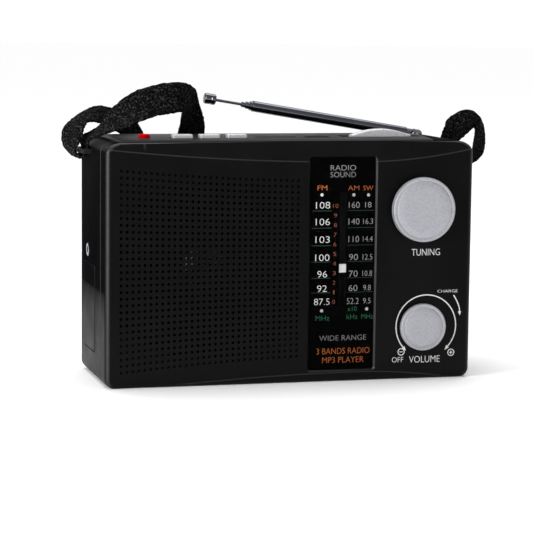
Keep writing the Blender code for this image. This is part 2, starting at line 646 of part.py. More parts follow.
def build_battery_compartment():
    tray = box("battery_tray", (-66.0, -2.8, 3.3), (66.0, BACK_Y - 3.6, 41.2), BLACK, PARTS)
    tray_hollow = box("tray_hollow", (-64.5, -1.3, 4.8), (64.5, BACK_Y + 4.0, 39.7), None,
                      CUTTERS)
    cut(tray, tray_hollow)
    for name, side in (("battery_1", -1.0), ("battery_2", 1.0)):
        button = 1.6
        top, foot = CELL_LENGTH / 2.0, -CELL_LENGTH / 2.0
        profile = ((0.0, top), (3.2, top), (3.2, top - button), (CELL_RADIUS - 1.0, top - button),
                   (CELL_RADIUS, top - button - 1.0), (CELL_RADIUS, foot + 0.8),
                   (CELL_RADIUS - 0.8, foot), (0.0, foot))
        centre_x = side * (CELL_LENGTH / 2.0 + GAP / 2.0) + 1.5
        turned(name, profile, (centre_x, CELL_Y, CELL_Z), (1, 0, 0), CELL, PARTS, 32)
    points = []
    turns, per_turn = 3, 8
    for step in range(turns * per_turn + 1):
        along = step / (turns * per_turn)
        angle = math.tau * turns * along
        radius = 6.0 - 2.5 * along
        points.append((-63.6 + 3.4 * along, CELL_Y + radius * math.cos(angle),
                       CELL_Z + radius * math.sin(angle)))
    wire("battery_spring", points, 0.4, STEEL, PARTS)
    door = box("battery_door", (-DOOR_HALF_WIDTH + 0.4, BACK_Y - DOOR_THICKNESS, DOOR_LOW + 1.0),
               (DOOR_HALF_WIDTH - 0.4, BACK_Y, DOOR_HIGH - 0.4), BLACK, PARTS)
    ribs = [box("door_grip_%d" % i, (-12.0, BACK_Y - 0.8, DOOR_HIGH - 6.0 - 2.2 * i),
                (12.0, BACK_Y + 1.0, DOOR_HIGH - 5.0 - 2.2 * i), None, CUTTERS)
            for i in range(3)]
    cut(door, *ribs)
    pivot("door_axis", (0.0, BACK_Y - DOOR_THICKNESS / 2.0, DOOR_AXIS_Z), door)


# ---------------------------------------------------------------- antenna

def build_antenna():
    """Everything beyond the elbow lies on one axis that leans up from level."""
    base_floor = TROUGH_FLOOR - 0.5 + GAP
    disc = ((0.0, base_floor + 2.0), (6.0, base_floor + 2.0), (6.3, base_floor + 1.7),
            (6.3, base_floor), (2.0, base_floor), (2.0, 111.0), (0.0, 111.0))
    base = turned("antenna_base", disc, (PIVOT.x, PIVOT.y, 0.0), (0, 0, 1), CHROME, PARTS, 28)
    cheeks = cylinder("fork_round", 2.8, (PIVOT.x, PIVOT.y - 3.5, PIVOT.z),
                      (PIVOT.x, PIVOT.y + 3.5, PIVOT.z), None, CUTTERS)
    post = box("fork_post", (PIVOT.x - 2.5, PIVOT.y - 3.4, base_floor + 1.0),
               (PIVOT.x + 2.5, PIVOT.y + 3.4, PIVOT.z - 0.6), None, CUTTERS)
    fork_gap = box("fork_gap", (PIVOT.x - 8.0, PIVOT.y - 1.8, base_floor + 2.2),
                   (PIVOT.x + 8.0, PIVOT.y + 1.8, PIVOT.z + 8.0), None, CUTTERS)
    pin_hole = cylinder("fork_pin_hole", 1.1, (PIVOT.x, PIVOT.y - 6.0, PIVOT.z),
                        (PIVOT.x, PIVOT.y + 6.0, PIVOT.z), None, CUTTERS, 16)
    join(base, post, cheeks)
    cut(base, fork_gap, pin_hole)
    pin = cylinder("antenna_pin", 0.8, (PIVOT.x, PIVOT.y - 3.3, PIVOT.z),
                   (PIVOT.x, PIVOT.y + 3.3, PIVOT.z), STEEL, PARTS, 16)

    axis = Vector((-math.cos(ANTENNA_RISE), 0.0, math.sin(ANTENNA_RISE)))

    def along(distance):
        return PIVOT + axis * distance

    elbow = cylinder("antenna_elbow", 2.5, along(1.0), along(TUBE_STARTS[0] - GAP), CHROME, PARTS)
    flats = [box("elbow_flat_%d" % i, (PIVOT.x - 9.0, PIVOT.y + low, PIVOT.z - 9.0),
                 (PIVOT.x + 9.0, PIVOT.y + high, PIVOT.z + 9.0), None, CUTTERS)
             for i, (low, high) in enumerate(((-9.0, -1.5), (1.5, 9.0)))]
    eye = cylinder("elbow_eye", 2.5, (PIVOT.x, PIVOT.y - 1.5, PIVOT.z),
                   (PIVOT.x, PIVOT.y + 1.5, PIVOT.z), None, CUTTERS)
    eye_hole = cylinder("elbow_hole", 1.1, (PIVOT.x, PIVOT.y - 6.0, PIVOT.z),
                        (PIVOT.x, PIVOT.y + 6.0, PIVOT.z), None, CUTTERS, 16)
    cut(elbow, *flats)
    join(elbow, eye)
    cut(elbow, eye_hole)

    tubes = []
    for i, radius in enumerate(TUBE_RADII):
        start, end = TUBE_STARTS[i], TUBE_ENDS[i]
        inner = radius - TUBE_WALL
        profile = [(radius, end - 0.3), (radius, start), (inner, start), (inner, end),
                   (radius - 0.05, end)]
        if i == 0:
            profile = [(radius, end - 0.3), (radius, start), (0.0, start), (0.0, start + 1.0),
                       (inner, start + 1.0), (inner, end), (radius - 0.05, end)]
        tubes.append(turned("antenna_tube_%d" % (i + 1), profile, PIVOT, axis, CHROME, PARTS, 24,
                            closed=True))
    tip_end = ROD_END + TIP_LENGTH
    profile = ((0.0, tip_end), (TIP_RADIUS - 0.6, tip_end), (TIP_RADIUS, tip_end - 0.6),
               (TIP_RADIUS, ROD_END + 0.5), (TIP_RADIUS - 0.5, ROD_END), (ROD_RADIUS, ROD_END),
               (ROD_RADIUS, ROD_START), (0.0, ROD_START))
    rod = turned("antenna_rod", profile, PIVOT, axis, CHROME, PARTS, 20)

    swivel = pivot("antenna_swivel", PIVOT, base, pin)
    hinge = pivot("antenna_hinge", PIVOT, elbow, *tubes, rod)
    hinge.parent = swivel
    hinge.matrix_parent_inverse = Matrix.Translation(-swivel.location)


# ---------------------------------------------------------------- strap

# The webbing as pairs of points on its two edges, from its sewn end behind the case,
# through the left bar, over the top, behind the case again and round the right bar.
TAIL = (((-41, 43.2, 90.2), (-33, 43.2, 102.8)), ((-52, 43.2, 97.4), (-42, 43.2, 108.6)),
        ((-65, 42.8, 106.4), (-55, 42.8, 117.6)), ((-73, 39.6, 118.0), (-63, 42.4, 126.5)),
        ((-78, 32.0, 127.5), (-69, 39.5, 134.5)))
LEFT_LOOP = (((-87.5, 24.5, 132.5), (-81.8, 36.0, 141.8)), ((-93.2, 17.5, 135.2), (-91.5, 30.0, 143.8)),
             ((-98.0, 12.0, 136.3), (-97.2, 26.0, 142.6)), ((-101.8, 7.5, 136.2), (-104.6, 21.5, 139.0)),
             ((-104.0, 5.5, 132.5), (-111.4, 20.4, 133.6)), ((-104.6, 5.6, 128.8), (-113.2, 20.2, 128.4)),
             ((-106.6, 6.0, 124.8), (-112.0, 21.8, 123.4)))
LEFT_WRAP = (((-108.4, 6.7, 121.2), (-109.4, 23.6, 120.4)), ((-105.0, 7.0, 117.6), (-105.0, 24.0, 117.6)),
             ((-101.5, 7.0, 121.0), (-101.5, 24.0, 121.0)))
ARC_FOOT = (((-101.4, 4.5, 126.4), (-102.6, 21.2, 127.4)), ((-97.6, -1.5, 129.4), (-98.4, 15.2, 130.6)),
            ((-91.6, -6.6, 131.8), (-94.4, 9.2, 134.6)))
ARC = (((-82.8, -8.0, 134.3), (-92.5, 5.0, 140.0)), ((-75.9, -7.0, 137.2), (-88.0, 4.0, 144.6)),
       ((-70.0, -5.0, 139.0), (-82.0, 4.0, 149.6)), ((-64.4, -2.5, 140.2), (-73.4, 3.5, 153.9)),
       ((-58.4, 0.0, 140.9), (-63.0, 3.0, 156.8)), ((-53.4, 2.5, 141.3), (-54.2, 3.5, 157.4)),
       ((-50.0, 7.5, 141.0), (-47.6, 6.5, 156.6)))
DROP = (((-48.6, 16.0, 138.2), (-41.8, 13.0, 153.2)), ((-47.6, 24.0, 133.4), (-38.0, 21.0, 146.2)),
        ((-46.8, 31.5, 130.4), (-33.8, 28.0, 138.0)), ((-46.0, 38.2, 126.5), (-30.8, 36.8, 130.8)),
        ((-46.2, 41.0, 117.0), (-30.6, 41.0, 120.0)), ((-46.8, 41.0, 104.0), (-30.8, 41.0, 106.0)))
REAR = (((-46.5, 41.0, 90.5), (-30.5, 41.0, 92.5)), ((-43.0, 41.0, 77.5), (-30.0, 46.5, 81.5)),
        ((-33.5, 40.5, 66.5), (-27.0, 52.0, 71.0)), ((-19.0, 39.5, 58.5), (-17.0, 55.0, 62.0)),
        ((0.0, 39.5, 54.0), (0.0, 56.0, 56.0)), ((22.0, 39.5, 53.0), (22.0, 56.0, 54.0)),
        ((45.0, 39.5, 57.0), (45.0, 56.0, 57.5)), ((67.0, 39.5, 68.0), (68.0, 54.5, 67.0)),
        ((84.0, 39.5, 86.0), (87.0, 52.0, 83.0)), ((94.0, 39.2, 101.5), (101.0, 46.0, 98.0)))
RIGHT_LOOP = (((100.0, 38.8, 111.0), (107.5, 42.0, 107.5)), ((103.6, 33.0, 120.0), (111.4, 32.5, 116.2)),
              ((102.4, 20.5, 130.2), (112.2, 18.0, 125.4)), ((102.4, 14.0, 136.6), (113.2, 10.5, 129.0)),
              ((105.2, 9.0, 140.4), (115.2, 7.0, 132.4)), ((110.6, 5.0, 142.8), (117.2, 9.5, 131.6)),
              ((114.2, 1.5, 141.2), (119.0, 13.0, 130.8)), ((117.6, 0.2, 136.6), (119.8, 15.0, 128.8)),
              ((119.7, 0.4, 128.0), (119.6, 16.2, 124.2)), ((119.8, 3.2, 118.8), (119.0, 19.6, 117.0)),
              ((115.2, 6.0, 113.6), (114.8, 23.0, 113.2)), ((109.6, 7.0, 113.8), (109.6, 24.0, 113.8)),
              ((105.0, 7.0, 116.8), (105.0, 24.0, 116.8)), ((101.5, 7.0, 121.0), (101.5, 24.0, 121.0)),
              ((101.5, 7.0, 125.6), (101.5, 24.0, 125.6)))
STRAP_PARTS = (("strap_left_loop", TAIL + LEFT_LOOP), ("strap_foot", LEFT_WRAP + ARC_FOOT),
               ("strap_arc", ARC), ("strap_drop", DROP), ("strap_rear", REAR),
               ("strap_right_loop", RIGHT_LOOP))


def smooth_point(points, position):
    """A point on the smooth curve through a list of points, at a fractional index."""
    last = len(points) - 1
    index = min(int(position), last - 1)
    t = position - index
    a, b, c, d = (points[min(max(index + k, 0), last)] for k in (-1, 0, 1, 2))
    return 0.5 * (2.0 * b + (c - a) * t + (2.0 * a - 5.0 * b + 4.0 * c - d) * t * t
                  + (3.0 * b - a - 3.0 * c + d) * t ** 3)


def build_strap():
    """One length of webbing, modelled as pieces that meet end to end."""
    pairs = [pair for _, stations in STRAP_PARTS for pair in stations]
    front = [Vector(pair[0]) for pair in pairs]
    back = [Vector(pair[1]) for pair in pairs]
    first = 0
    for name, stations in STRAP_PARTS:
        start, end = first, min(first + len(stations), len(pairs) - 1)
        first += len(stations)
        count = (end - start) * STRAP_STEPS
        positions = [start + (end - start) * i / count for i in range(count + 1)]
        positions[0] += 0.02
        positions[-1] -= 0.02
        rings = []
        for position in positions:
            low, high = smooth_point(front, position), smooth_point(back, position)
            ahead = min(position + 0.05, len(pairs) - 1.0)
            behind = max(position - 0.05, 0.0)
            run = (smooth_point(front, ahead) + smooth_point(back, ahead)
                   - smooth_point(front, behind) - smooth_point(back, behind))
            normal = run.cross(high - low).normalized() * (STRAP_THICKNESS / 2.0)
            rings.append([low - normal, high - normal, high + normal, low + normal])
        loft(name, rings, WEBBING, PARTS)


def build_strap_bars():
    for name, side in (("strap_bar_left", -1.0), ("strap_bar_right", 1.0)):
        wall, out = side * (CASE_WIDTH / 2.0 + GAP), side * STRAP_BAR_X
        near, far = STRAP_BAR_Y
        bend = 1.2
        z = STRAP_BAR_Z
        points = [(wall, near, z), (out - side * bend, near, z), (out, near + bend, z),
                  (out, far - bend, z), (out - side * bend, far, z), (wall, far, z)]
        wire(name, points, STRAP_BAR_RADIUS, STEEL, PARTS)


for old in list(bpy.data.objects):
    bpy.data.objects.remove(old, do_unlink=True)

PARTS = make_collection("shortwave_receiver")
CUTTERS = make_collection("cutters")

BLACK = make_material("black_plastic", (0.012, 0.012, 0.014), 0.45)
DECK_GREY = make_material("deck_plastic", (0.05, 0.05, 0.052), 0.5)
DIAL_BLACK = make_material("dial_print", (0.004, 0.004, 0.005), 0.3)
LENS = make_material("clear_plastic", (0.02, 0.02, 0.022), 0.05)
SILVER = make_material("silver_paint", (0.55, 0.55, 0.58), 0.4, 0.6)
CHROME = make_material("chrome", (0.75, 0.76, 0.8), 0.08, 1.0)
STEEL = make_material("steel", (0.5, 0.5, 0.5), 0.3, 1.0)
RED = make_material("red_plastic", (0.7, 0.01, 0.01), 0.35)
WHITE = make_material("white_plastic", (0.8, 0.8, 0.8), 0.4)
GREEN = make_material("circuit_board", (0.02, 0.15, 0.05), 0.5)
COPPER = make_material("copper_wire", (0.6, 0.25, 0.12), 0.35, 1.0)
FERRITE = make_material("ferrite", (0.03, 0.03, 0.032), 0.7)
CONE = make_material("paper_cone", (0.03, 0.03, 0.03), 0.9)
CORD = make_material("dial_cord", (0.6, 0.58, 0.5), 0.8)
CELL = make_material("battery_wrap", (0.05, 0.07, 0.2), 0.35)
WEBBING = make_material("black_webbing", (0.015, 0.015, 0.015), 0.9)

build_front_cabinet()
build_rear_cabinet()
build_screws()
build_side_fittings()
build_top_panel()
build_buttons()
build_player()
build_band_switch()
build_dial()
build_dial_cord()
build_tuning()
build_volume()
build_inside()
build_battery_compartment()
build_antenna()
build_strap()
build_strap_bars()
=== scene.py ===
import json
import math

import bmesh
import bpy
import numpy as np
from mathutils import Matrix, Vector


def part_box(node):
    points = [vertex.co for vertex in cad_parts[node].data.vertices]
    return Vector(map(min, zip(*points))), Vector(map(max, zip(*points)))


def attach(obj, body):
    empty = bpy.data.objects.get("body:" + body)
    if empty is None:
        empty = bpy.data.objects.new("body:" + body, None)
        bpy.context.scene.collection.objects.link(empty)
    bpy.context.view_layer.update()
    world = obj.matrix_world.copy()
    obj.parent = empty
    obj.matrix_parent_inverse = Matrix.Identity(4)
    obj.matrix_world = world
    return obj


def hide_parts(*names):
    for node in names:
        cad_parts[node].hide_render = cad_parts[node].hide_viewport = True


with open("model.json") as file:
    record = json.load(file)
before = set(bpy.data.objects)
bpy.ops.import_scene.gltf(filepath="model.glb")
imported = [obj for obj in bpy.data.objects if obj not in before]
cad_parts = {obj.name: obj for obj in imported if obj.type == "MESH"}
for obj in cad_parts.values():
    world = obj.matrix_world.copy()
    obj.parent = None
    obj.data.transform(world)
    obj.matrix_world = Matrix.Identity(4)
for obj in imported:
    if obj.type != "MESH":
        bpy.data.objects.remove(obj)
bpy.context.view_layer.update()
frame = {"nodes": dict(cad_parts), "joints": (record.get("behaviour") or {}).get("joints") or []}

MM = 0.001
TAU = math.tau
FORWARD, BACKWARD, LEFTWARD, RIGHTWARD, UPWARD = (0, -1, 0), (0, 1, 0), (-1, 0, 0), (1, 0, 0), (0, 0, 1)


def corners(node):
    """Lowest and highest corner of a CAD node at rest, in millimetres."""
    low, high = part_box(node)
    return Vector(low) / MM, Vector(high) / MM


def centre(node):
    low, high = corners(node)
    return (low + high) / 2.0


FRONT_LOW, FRONT_HIGH = corners("front_cabinet")
REAR_LOW, REAR_HIGH = corners("rear_cabinet")
FRONT_Y, PARTING_Y, BACK_Y = FRONT_LOW.y, FRONT_HIGH.y, REAR_HIGH.y
HALF_WIDTH, HEIGHT = FRONT_HIGH.x, FRONT_HIGH.z
SPEAKER = centre("speaker_frame")
MIDDLE_Z = SPEAKER.z
JOINTS = {joint["name"]: joint for joint in frame["joints"]}

# Case, as the CAD has it
FRONT_WALL, WALL = 3.0, 2.5
TOP_CORNER, BOTTOM_CORNER = (10.0, 6.0), (5.0, 5.0)     # half-axes of the quarter ellipses
FRONT_EDGE, BACK_EDGE, PARTING_EDGE = 3.0, 2.0, 0.35
CREASE_X, CREASE_Z = 37.0, 117.06
CREASE_RADIUS_LEFT, CREASE_RADIUS_RIGHT = 1300.0, 290.0
BAND_SETBACK = 2.0
BAND_SLOPE = BAND_SETBACK / (HEIGHT - CREASE_Z)

# Grille
GRILLE_LEFT, GRILLE_RIGHT = -91.8, 2.5
GRILLE_DROP = 10.0                                 # from the crease to the top row
GRILLE_COUNT = 31
GRILLE_RADIUS, GRILLE_SIDES = 0.78, 12
OPEN_HALF_WIDTH, OPEN_HALF_HEIGHT = 60.0, 46.0     # holes outside this ellipse are blind
BLIND_DEPTH = 1.5

# Back
PIVOT = Vector(JOINTS["antenna_elbow_turn"]["pos_m"]) / MM
ANTENNA_AXIS = Vector(JOINTS["antenna_slide_2"]["axis"]).normalized()
SCREWS = [centre("case_screw_%d" % i) for i in (1, 2, 3, 4)]
TROUGH_FRONT, TROUGH_FLOOR = 24.0, 121.0
VENT_LEFT, VENT_RIGHT, VENT_LOW = -62.0, -20.0, 58.0
VENT_COUNT, VENT_PITCH, VENT_WIDTH = 9, 4.2, 1.6

# Deck
DECK_TOP, DECK_CROWN_RADIUS, DECK_THICKNESS, DECK_EDGE = 129.7, 400.0, 2.5, 0.8
KEYS = ("previous_button", "play_button", "next_button")
KEY_HALF_X, KEY_HALF_Y = 5.3, 3.2
SLIDER_HALF_LENGTH, SLIDER_HALF_WIDTH = 16.5, 3.1
SLIDER_TOP, SLIDER_RISE, SLIDER_EDGE = 130.2, 3.2, 0.9

# Dial
SCALE_X = centre("dial_pointer").x
SLOT_LOW, SLOT_HIGH = 37.9, 100.7
FACE_Y = FRONT_Y + 0.8                             # printed side, under its clear window
PRINT_DEPTH = 0.04

STRAP_THICKNESS = 1.8


# ---------------------------------------------------------------- materials

def feed(owner, socket, value):
    """Gives an input a value, or another node's output."""
    if isinstance(value, bpy.types.NodeSocket):
        owner.node_tree.links.new(value, socket)
    else:
        socket.default_value = value


def add_node(owner, kind, **inputs):
    """A shader node; an underscore in an input's name stands for a space."""
    node = owner.node_tree.nodes.new("ShaderNode" + kind)
    for name, value in inputs.items():
        feed(owner, node.inputs[name.replace("_", " ")], value)
    return node


def set_shader(material, **inputs):
    shader = material.node_tree.nodes["Principled BSDF"]
    for name, value in inputs.items():
        feed(material, shader.inputs[name.replace("_", " ")], value)


def new_material(name, colour, roughness, metallic=0.0, **inputs):
    material = bpy.data.materials.new(name)
    material.use_nodes = True
    set_shader(material, Base_Color=(*colour, 1.0), Roughness=roughness, Metallic=metallic, **inputs)
    return material


def texture(material, kind, scale, detail=3.0):
    """A texture in the object's own coordinates, which are the frame's metres."""
    nodes = material.node_tree.nodes
    place = nodes.get("Place") or nodes.new("ShaderNodeTexCoord")
    place.name = "Place"
    return add_node(material, kind, Vector=place.outputs["Object"], Scale=scale, Detail=detail)


def noise(material, scale, detail):
    return texture(material, "TexNoise", scale, detail).outputs["Fac"]


def ramp(owner, source, stops):
    """The colour that stops of (position, colour) give for an output."""
    node = add_node(owner, "ValToRGB", Fac=source)
    elements = node.color_ramp.elements
    while len(elements) < len(stops):
        elements.new(0.5)
    for element, (position, colour) in zip(elements, stops):
        element.position = position
        element.color = (*colour, 1.0)
    return node.outputs["Color"]


def grey_stops(stops):
    return [(position, (value,) * 3) for position, value in stops]


def blend(material, factor, below, above):
    node = add_node(material, "Mix")
    node.data_type = "RGBA"
    for name, value in (("Factor", factor), ("A", below), ("B", above)):
        feed(material, node.inputs[name], value)
    return node.outputs["Result"]


def vary_colour(material, source, colour, low, high, span=(0.3, 0.7)):
    """Between two multiples of a colour."""
    stops = [(position, [min(1.0, factor * c) for c in colour])
             for position, factor in zip(span, (low, high))]
    set_shader(material, Base_Color=ramp(material, source, stops))


def vary_roughness(material, source, low, high):
    node = add_node(material, "MapRange", Value=source, From_Min=0.3, From_Max=0.7, To_Min=low,
                    To_Max=high)
    set_shader(material, Roughness=node.outputs["Result"])


def add_bump(material, source, depth):
    """Bumps chain, each fed by the one before."""
    node = add_node(material, "Bump", Height=source, Strength=1.0, Distance=depth * MM)
    before = material.node_tree.nodes["Principled BSDF"].inputs["Normal"].links
    if before:
        feed(material, node.inputs["Normal"], before[0].from_socket)
    set_shader(material, Normal=node.outputs["Normal"])


def moulded_plastic(name, colour, roughness, grain=0.02, worn=1.6, **inputs):
    """Moulded plastic: fine spark-eroded grain, faint mottling, and edges rubbed paler."""
    material = new_material(name, colour, roughness, **inputs)
    mottle = noise(material, 60.0, 4.0)
    tone = ramp(material, mottle,
                ((0.35, [0.88 * c for c in colour]), (0.65, [1.12 * c for c in colour])))
    edge = ramp(material, add_node(material, "NewGeometry").outputs["Pointiness"],
                grey_stops(((0.53, 0.0), (0.62, 1.0))))
    rubbed = (*[min(1.0, worn * c) for c in colour], 1.0)
    set_shader(material, Base_Color=blend(material, edge, tone, rubbed))
    vary_roughness(material, mottle, roughness - 0.06, roughness + 0.06)
    add_bump(material, noise(material, 2600.0, 2.0), grain)
    return material


def case_plastic():
    """The case's plastic: dull on its flats, with painted highlight and painted reflection set into its
    specular level by which way the surface faces and by height, and a pale line painted along the two
    creases of the front as their highlight."""
    material = moulded_plastic("black_case_plastic", (0.0032, 0.0032, 0.0036), 0.40, worn=2.0)

    def maths(operation, first, second=0.0):
        node = add_node(material, "Math")
        node.operation = operation
        for socket, value in zip(node.inputs, (first, second)):
            feed(material, socket, value)
        return node.outputs["Value"]

    def times(first, second):
        return maths("MULTIPLY", first, second)

    def above_zero(value):
        return maths("MAXIMUM", 0.0, value)

    facing = add_node(material, "SeparateXYZ",
                      Vector=add_node(material, "NewGeometry").outputs["Normal"]).outputs
    place = add_node(material, "SeparateXYZ",
                     Vector=material.node_tree.nodes["Place"].outputs["Object"]).outputs

    # Painted highlight and reflection in the specular level: raised on rounded edges turned left and
    # upward (less where they don't face forward), near the foot of the case, and on faces turned back
    # and to the right.
    turned_away = maths("MAXIMUM", times(facing["X"], -1.0), facing["Z"])
    forward = maths("MAXIMUM", 0.2, maths("MINIMUM", 1.0, times(facing["Y"], -1.8)))
    edges = ramp(material, turned_away, grey_stops((
        (0.0, 0.045), (0.22, 0.09), (0.48, 0.5), (0.80, 0.24), (0.95, 0.004), (1.0, 0.0))))
    foot = times(above_zero(maths("SUBTRACT", 0.05, place["Z"])), 0.7)
    behind = times(above_zero(facing["Y"]), 0.4)
    beside = times(above_zero(facing["X"]), 0.15)
    gloss = maths("ADD", maths("ADD", times(edges, forward), foot), maths("ADD", behind, beside))

    # Painted highlight: a pale line along the two creases of the front, where their convex edge would
    # catch the light.
    across = maths("SUBTRACT", place["X"], CREASE_X * MM)
    bend_left, bend_right = 0.5 / (CREASE_RADIUS_LEFT * MM), 0.5 / (CREASE_RADIUS_RIGHT * MM)
    bend = maths("ADD", bend_left,
                 times(maths("GREATER_THAN", across, 0.0), bend_right - bend_left))
    rise = times(times(across, across), bend)
    height = maths("ABSOLUTE", maths("SUBTRACT", place["Z"], MIDDLE_Z * MM))
    off = maths("ABSOLUTE", maths("SUBTRACT", maths("SUBTRACT", height, rise),
                                  (CREASE_Z - MIDDLE_Z) * MM))
    crease = times(maths("LESS_THAN", off, 0.00032),
                   maths("LESS_THAN", place["Y"], (FRONT_Y + 0.5) * MM))
    shader = material.node_tree.nodes["Principled BSDF"]
    plain = shader.inputs["Base Color"].links[0].from_socket
    set_shader(material, Specular_IOR_Level=gloss,
               Base_Color=blend(material, crease, plain, (0.022, 0.022, 0.023, 1.0)))
    return material


def sparkle_paint(name, colour, roughness, metallic):
    """Metallic paint: flakes half a millimetre across, each a little lighter or darker."""
    material = new_material(name, colour, roughness, metallic)
    flakes = texture(material, "TexVoronoi", 1700.0).outputs["Color"]
    mist = noise(material, 900.0, 2.0)
    vary_colour(material, flakes, colour, 0.70, 1.20, (0.1, 0.9))
    vary_roughness(material, mist, roughness - 0.08, roughness + 0.08)
    add_bump(material, mist, 0.015)
    return material


def polished_metal(name, colour, roughness, scratch=0.004):
    """Plated metal with faint handling scratches and a slight haze."""
    material = new_material(name, colour, roughness, 1.0)
    haze = noise(material, 140.0, 5.0)
    vary_colour(material, haze, colour, 0.9, 1.05)
    vary_roughness(material, haze, max(roughness - 0.03, 0.02), roughness + 0.05)
    add_bump(material, noise(material, 1800.0, 2.0), scratch)
    return material


def printed_ink(name, colour):
    """Screen printed ink: nearly even, slightly grainy at its thinnest."""
    material = new_material(name, colour, 0.55)
    vary_colour(material, noise(material, 1500.0, 2.0), colour, 0.82, 1.0)
    return material


def webbing_material():
    """Black spun yarn: fibres in the bump, paler where light catches the crowns."""
    material = new_material("webbing_yarn", (0.01, 0.01, 0.01), 0.85, Specular_IOR_Level=0.04)
    yarn = noise(material, 1050.0, 4.0)
    stops = grey_stops(((0.42, 0.0008), (0.55, 0.006))) + [(0.68, (0.05, 0.05, 0.048))]
    set_shader(material, Base_Color=ramp(material, yarn, stops))
    add_bump(material, yarn, 0.35)
    add_bump(material, noise(material, 3500.0, 3.0), 0.08)
    return material


BLACK = case_plastic()
# The deck's plastic is a little lighter than the case's: painted reflection, standing in for the grey
# its top shows at grazing angles.
DECK = moulded_plastic("black_deck_plastic", (0.012, 0.012, 0.013), 0.34,
                       Specular_IOR_Level=0.05)
INNER = moulded_plastic("inner_black_plastic", (0.006, 0.006, 0.0065), 0.6,
                        Specular_IOR_Level=0.2)
SILVER = sparkle_paint("silver_paint", (0.325, 0.325, 0.355), 0.48, 0.35)
BUTTON_SILVER = sparkle_paint("button_silver", (0.50, 0.50, 0.52), 0.45, 0.35)
CHROME = polished_metal("antenna_chrome", (0.125, 0.13, 0.15), 0.14)
STEEL = polished_metal("plated_steel", (0.55, 0.55, 0.55), 0.28, 0.01)
DIAL_BLACK = moulded_plastic("dial_black", (0.0012, 0.0012, 0.0014), 0.4, 0.0, 1.0,
                             Specular_IOR_Level=0.01)
LENS = new_material("dial_window", (0.0, 0.0, 0.0), 0.4, Alpha=0.04, Specular_IOR_Level=0.0)
vary_roughness(LENS, noise(LENS, 30.0, 2.0), 0.05, 0.11)
RED = moulded_plastic("red_plastic", (0.40, 0.001, 0.002), 0.5, 0.01, 1.1, Specular_IOR_Level=0.0)
WHITE_PLASTIC = moulded_plastic("white_plastic", (0.92, 0.92, 0.92), 0.4, 0.01, 1.05)
BOARD_BLACK = moulded_plastic("black_solder_mask", (0.060, 0.065, 0.065), 0.5, 0.02, 1.2)
BOARD_GREEN = moulded_plastic("solder_mask", (0.012, 0.10, 0.035), 0.4, 0.02, 1.2)
COPPER = polished_metal("enamelled_copper", (0.62, 0.25, 0.12), 0.3, 0.05)
FERRITE = moulded_plastic("sintered_ferrite", (0.03, 0.03, 0.032), 0.65, 0.05, 1.4)
PAPER = moulded_plastic("cone_paper", (0.012, 0.012, 0.012), 0.75, 0.06, 1.3)
DUST_CAP = polished_metal("dust_cap", (0.55, 0.55, 0.56), 0.25)
SLOT_GREY = moulded_plastic("slot_grey", (0.0055, 0.0062, 0.0062), 0.5, 0.02, 1.1,
                            Specular_IOR_Level=0.2)
THREAD = moulded_plastic("waxed_thread", (0.5, 0.47, 0.38), 0.7, 0.1, 1.1)
CELL_WRAP = moulded_plastic("cell_wrap", (0.03, 0.045, 0.12), 0.3, 0.005, 1.1)
INK_WHITE = printed_ink("white_ink", (0.74, 0.74, 0.74))
INK_PALE = printed_ink("pale_ink", (0.46, 0.46, 0.46))
INK_GREY = printed_ink("grey_ink", (0.34, 0.34, 0.34))
INK_ORANGE = printed_ink("orange_ink", (0.62, 0.17, 0.02))
INK_DIM_ORANGE = printed_ink("dim_orange_ink", (0.26, 0.065, 0.02))
INK_GREEN = printed_ink("green_ink", (0.006, 0.20, 0.075))
INK_DARK_GREEN = printed_ink("dark_green_ink", (0.003, 0.045, 0.022))
INK_BLACK = printed_ink("black_ink", (0.004, 0.004, 0.004))
WEBBING = webbing_material()


# ---------------------------------------------------------------- mesh helpers

def piece(name, mesh, material, body, replaces=(), angle=35.0):
    """An object for a mesh in millimetres, shaded smooth, riding on a body."""
    mesh.transform(Matrix.Scale(MM, 4))
    obj = bpy.data.objects.new(name, mesh)
    bpy.context.scene.collection.objects.link(obj)
    if not mesh.materials:
        mesh.materials.append(material)
    mesh.shade_smooth()
    mesh.set_sharp_from_angle(angle=math.radians(angle))
    obj.modifiers.new("Normals", "WEIGHTED_NORMAL").keep_sharp = True
    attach(obj, body)
    if replaces:
        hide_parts(*replaces)
    return obj


def to_mesh(bm):
    mesh = bpy.data.meshes.new("mesh")
    bm.to_mesh(mesh)
    bm.free()
    return mesh


def joined(meshes):
    bm = bmesh.new()
    for mesh in meshes:
        bm.from_mesh(mesh)
    return to_mesh(bm)


def loft(rings):
    """A closed body through rings that all have the same number of points."""
    bm = bmesh.new()
    rows = [[bm.verts.new(point) for point in ring] for ring in rings]
    count = len(rings[0])
    for before, after in zip(rows, rows[1:]):
        for i in range(count):
            j = (i + 1) % count
            bm.faces.new((before[i], before[j], after[j], after[i]))
    bm.faces.new(list(reversed(rows[0])))
    bm.faces.new(rows[-1])
    bmesh.ops.recalc_face_normals(bm, faces=bm.faces)
    return to_mesh(bm)


def prism(outline, *depths):
    """An outline in x and z, given depth in y."""
    return loft([[(x, y, z) for x, z in outline] for y in depths])


def block(low, high, bevel=0.0, segments=3):
    bm = bmesh.new()
    low, high = Vector(low), Vector(high)
    bmesh.ops.create_cube(bm, size=1.0)
    for vertex in bm.verts:
        vertex.co = Vector([low[i] + (vertex.co[i] + 0.5) * (high[i] - low[i]) for i in range(3)])
    if bevel:
        bmesh.ops.bevel(bm, geom=bm.edges[:], offset=bevel, segments=segments, profile=0.5,
                        affect="EDGES")
    return to_mesh(bm)


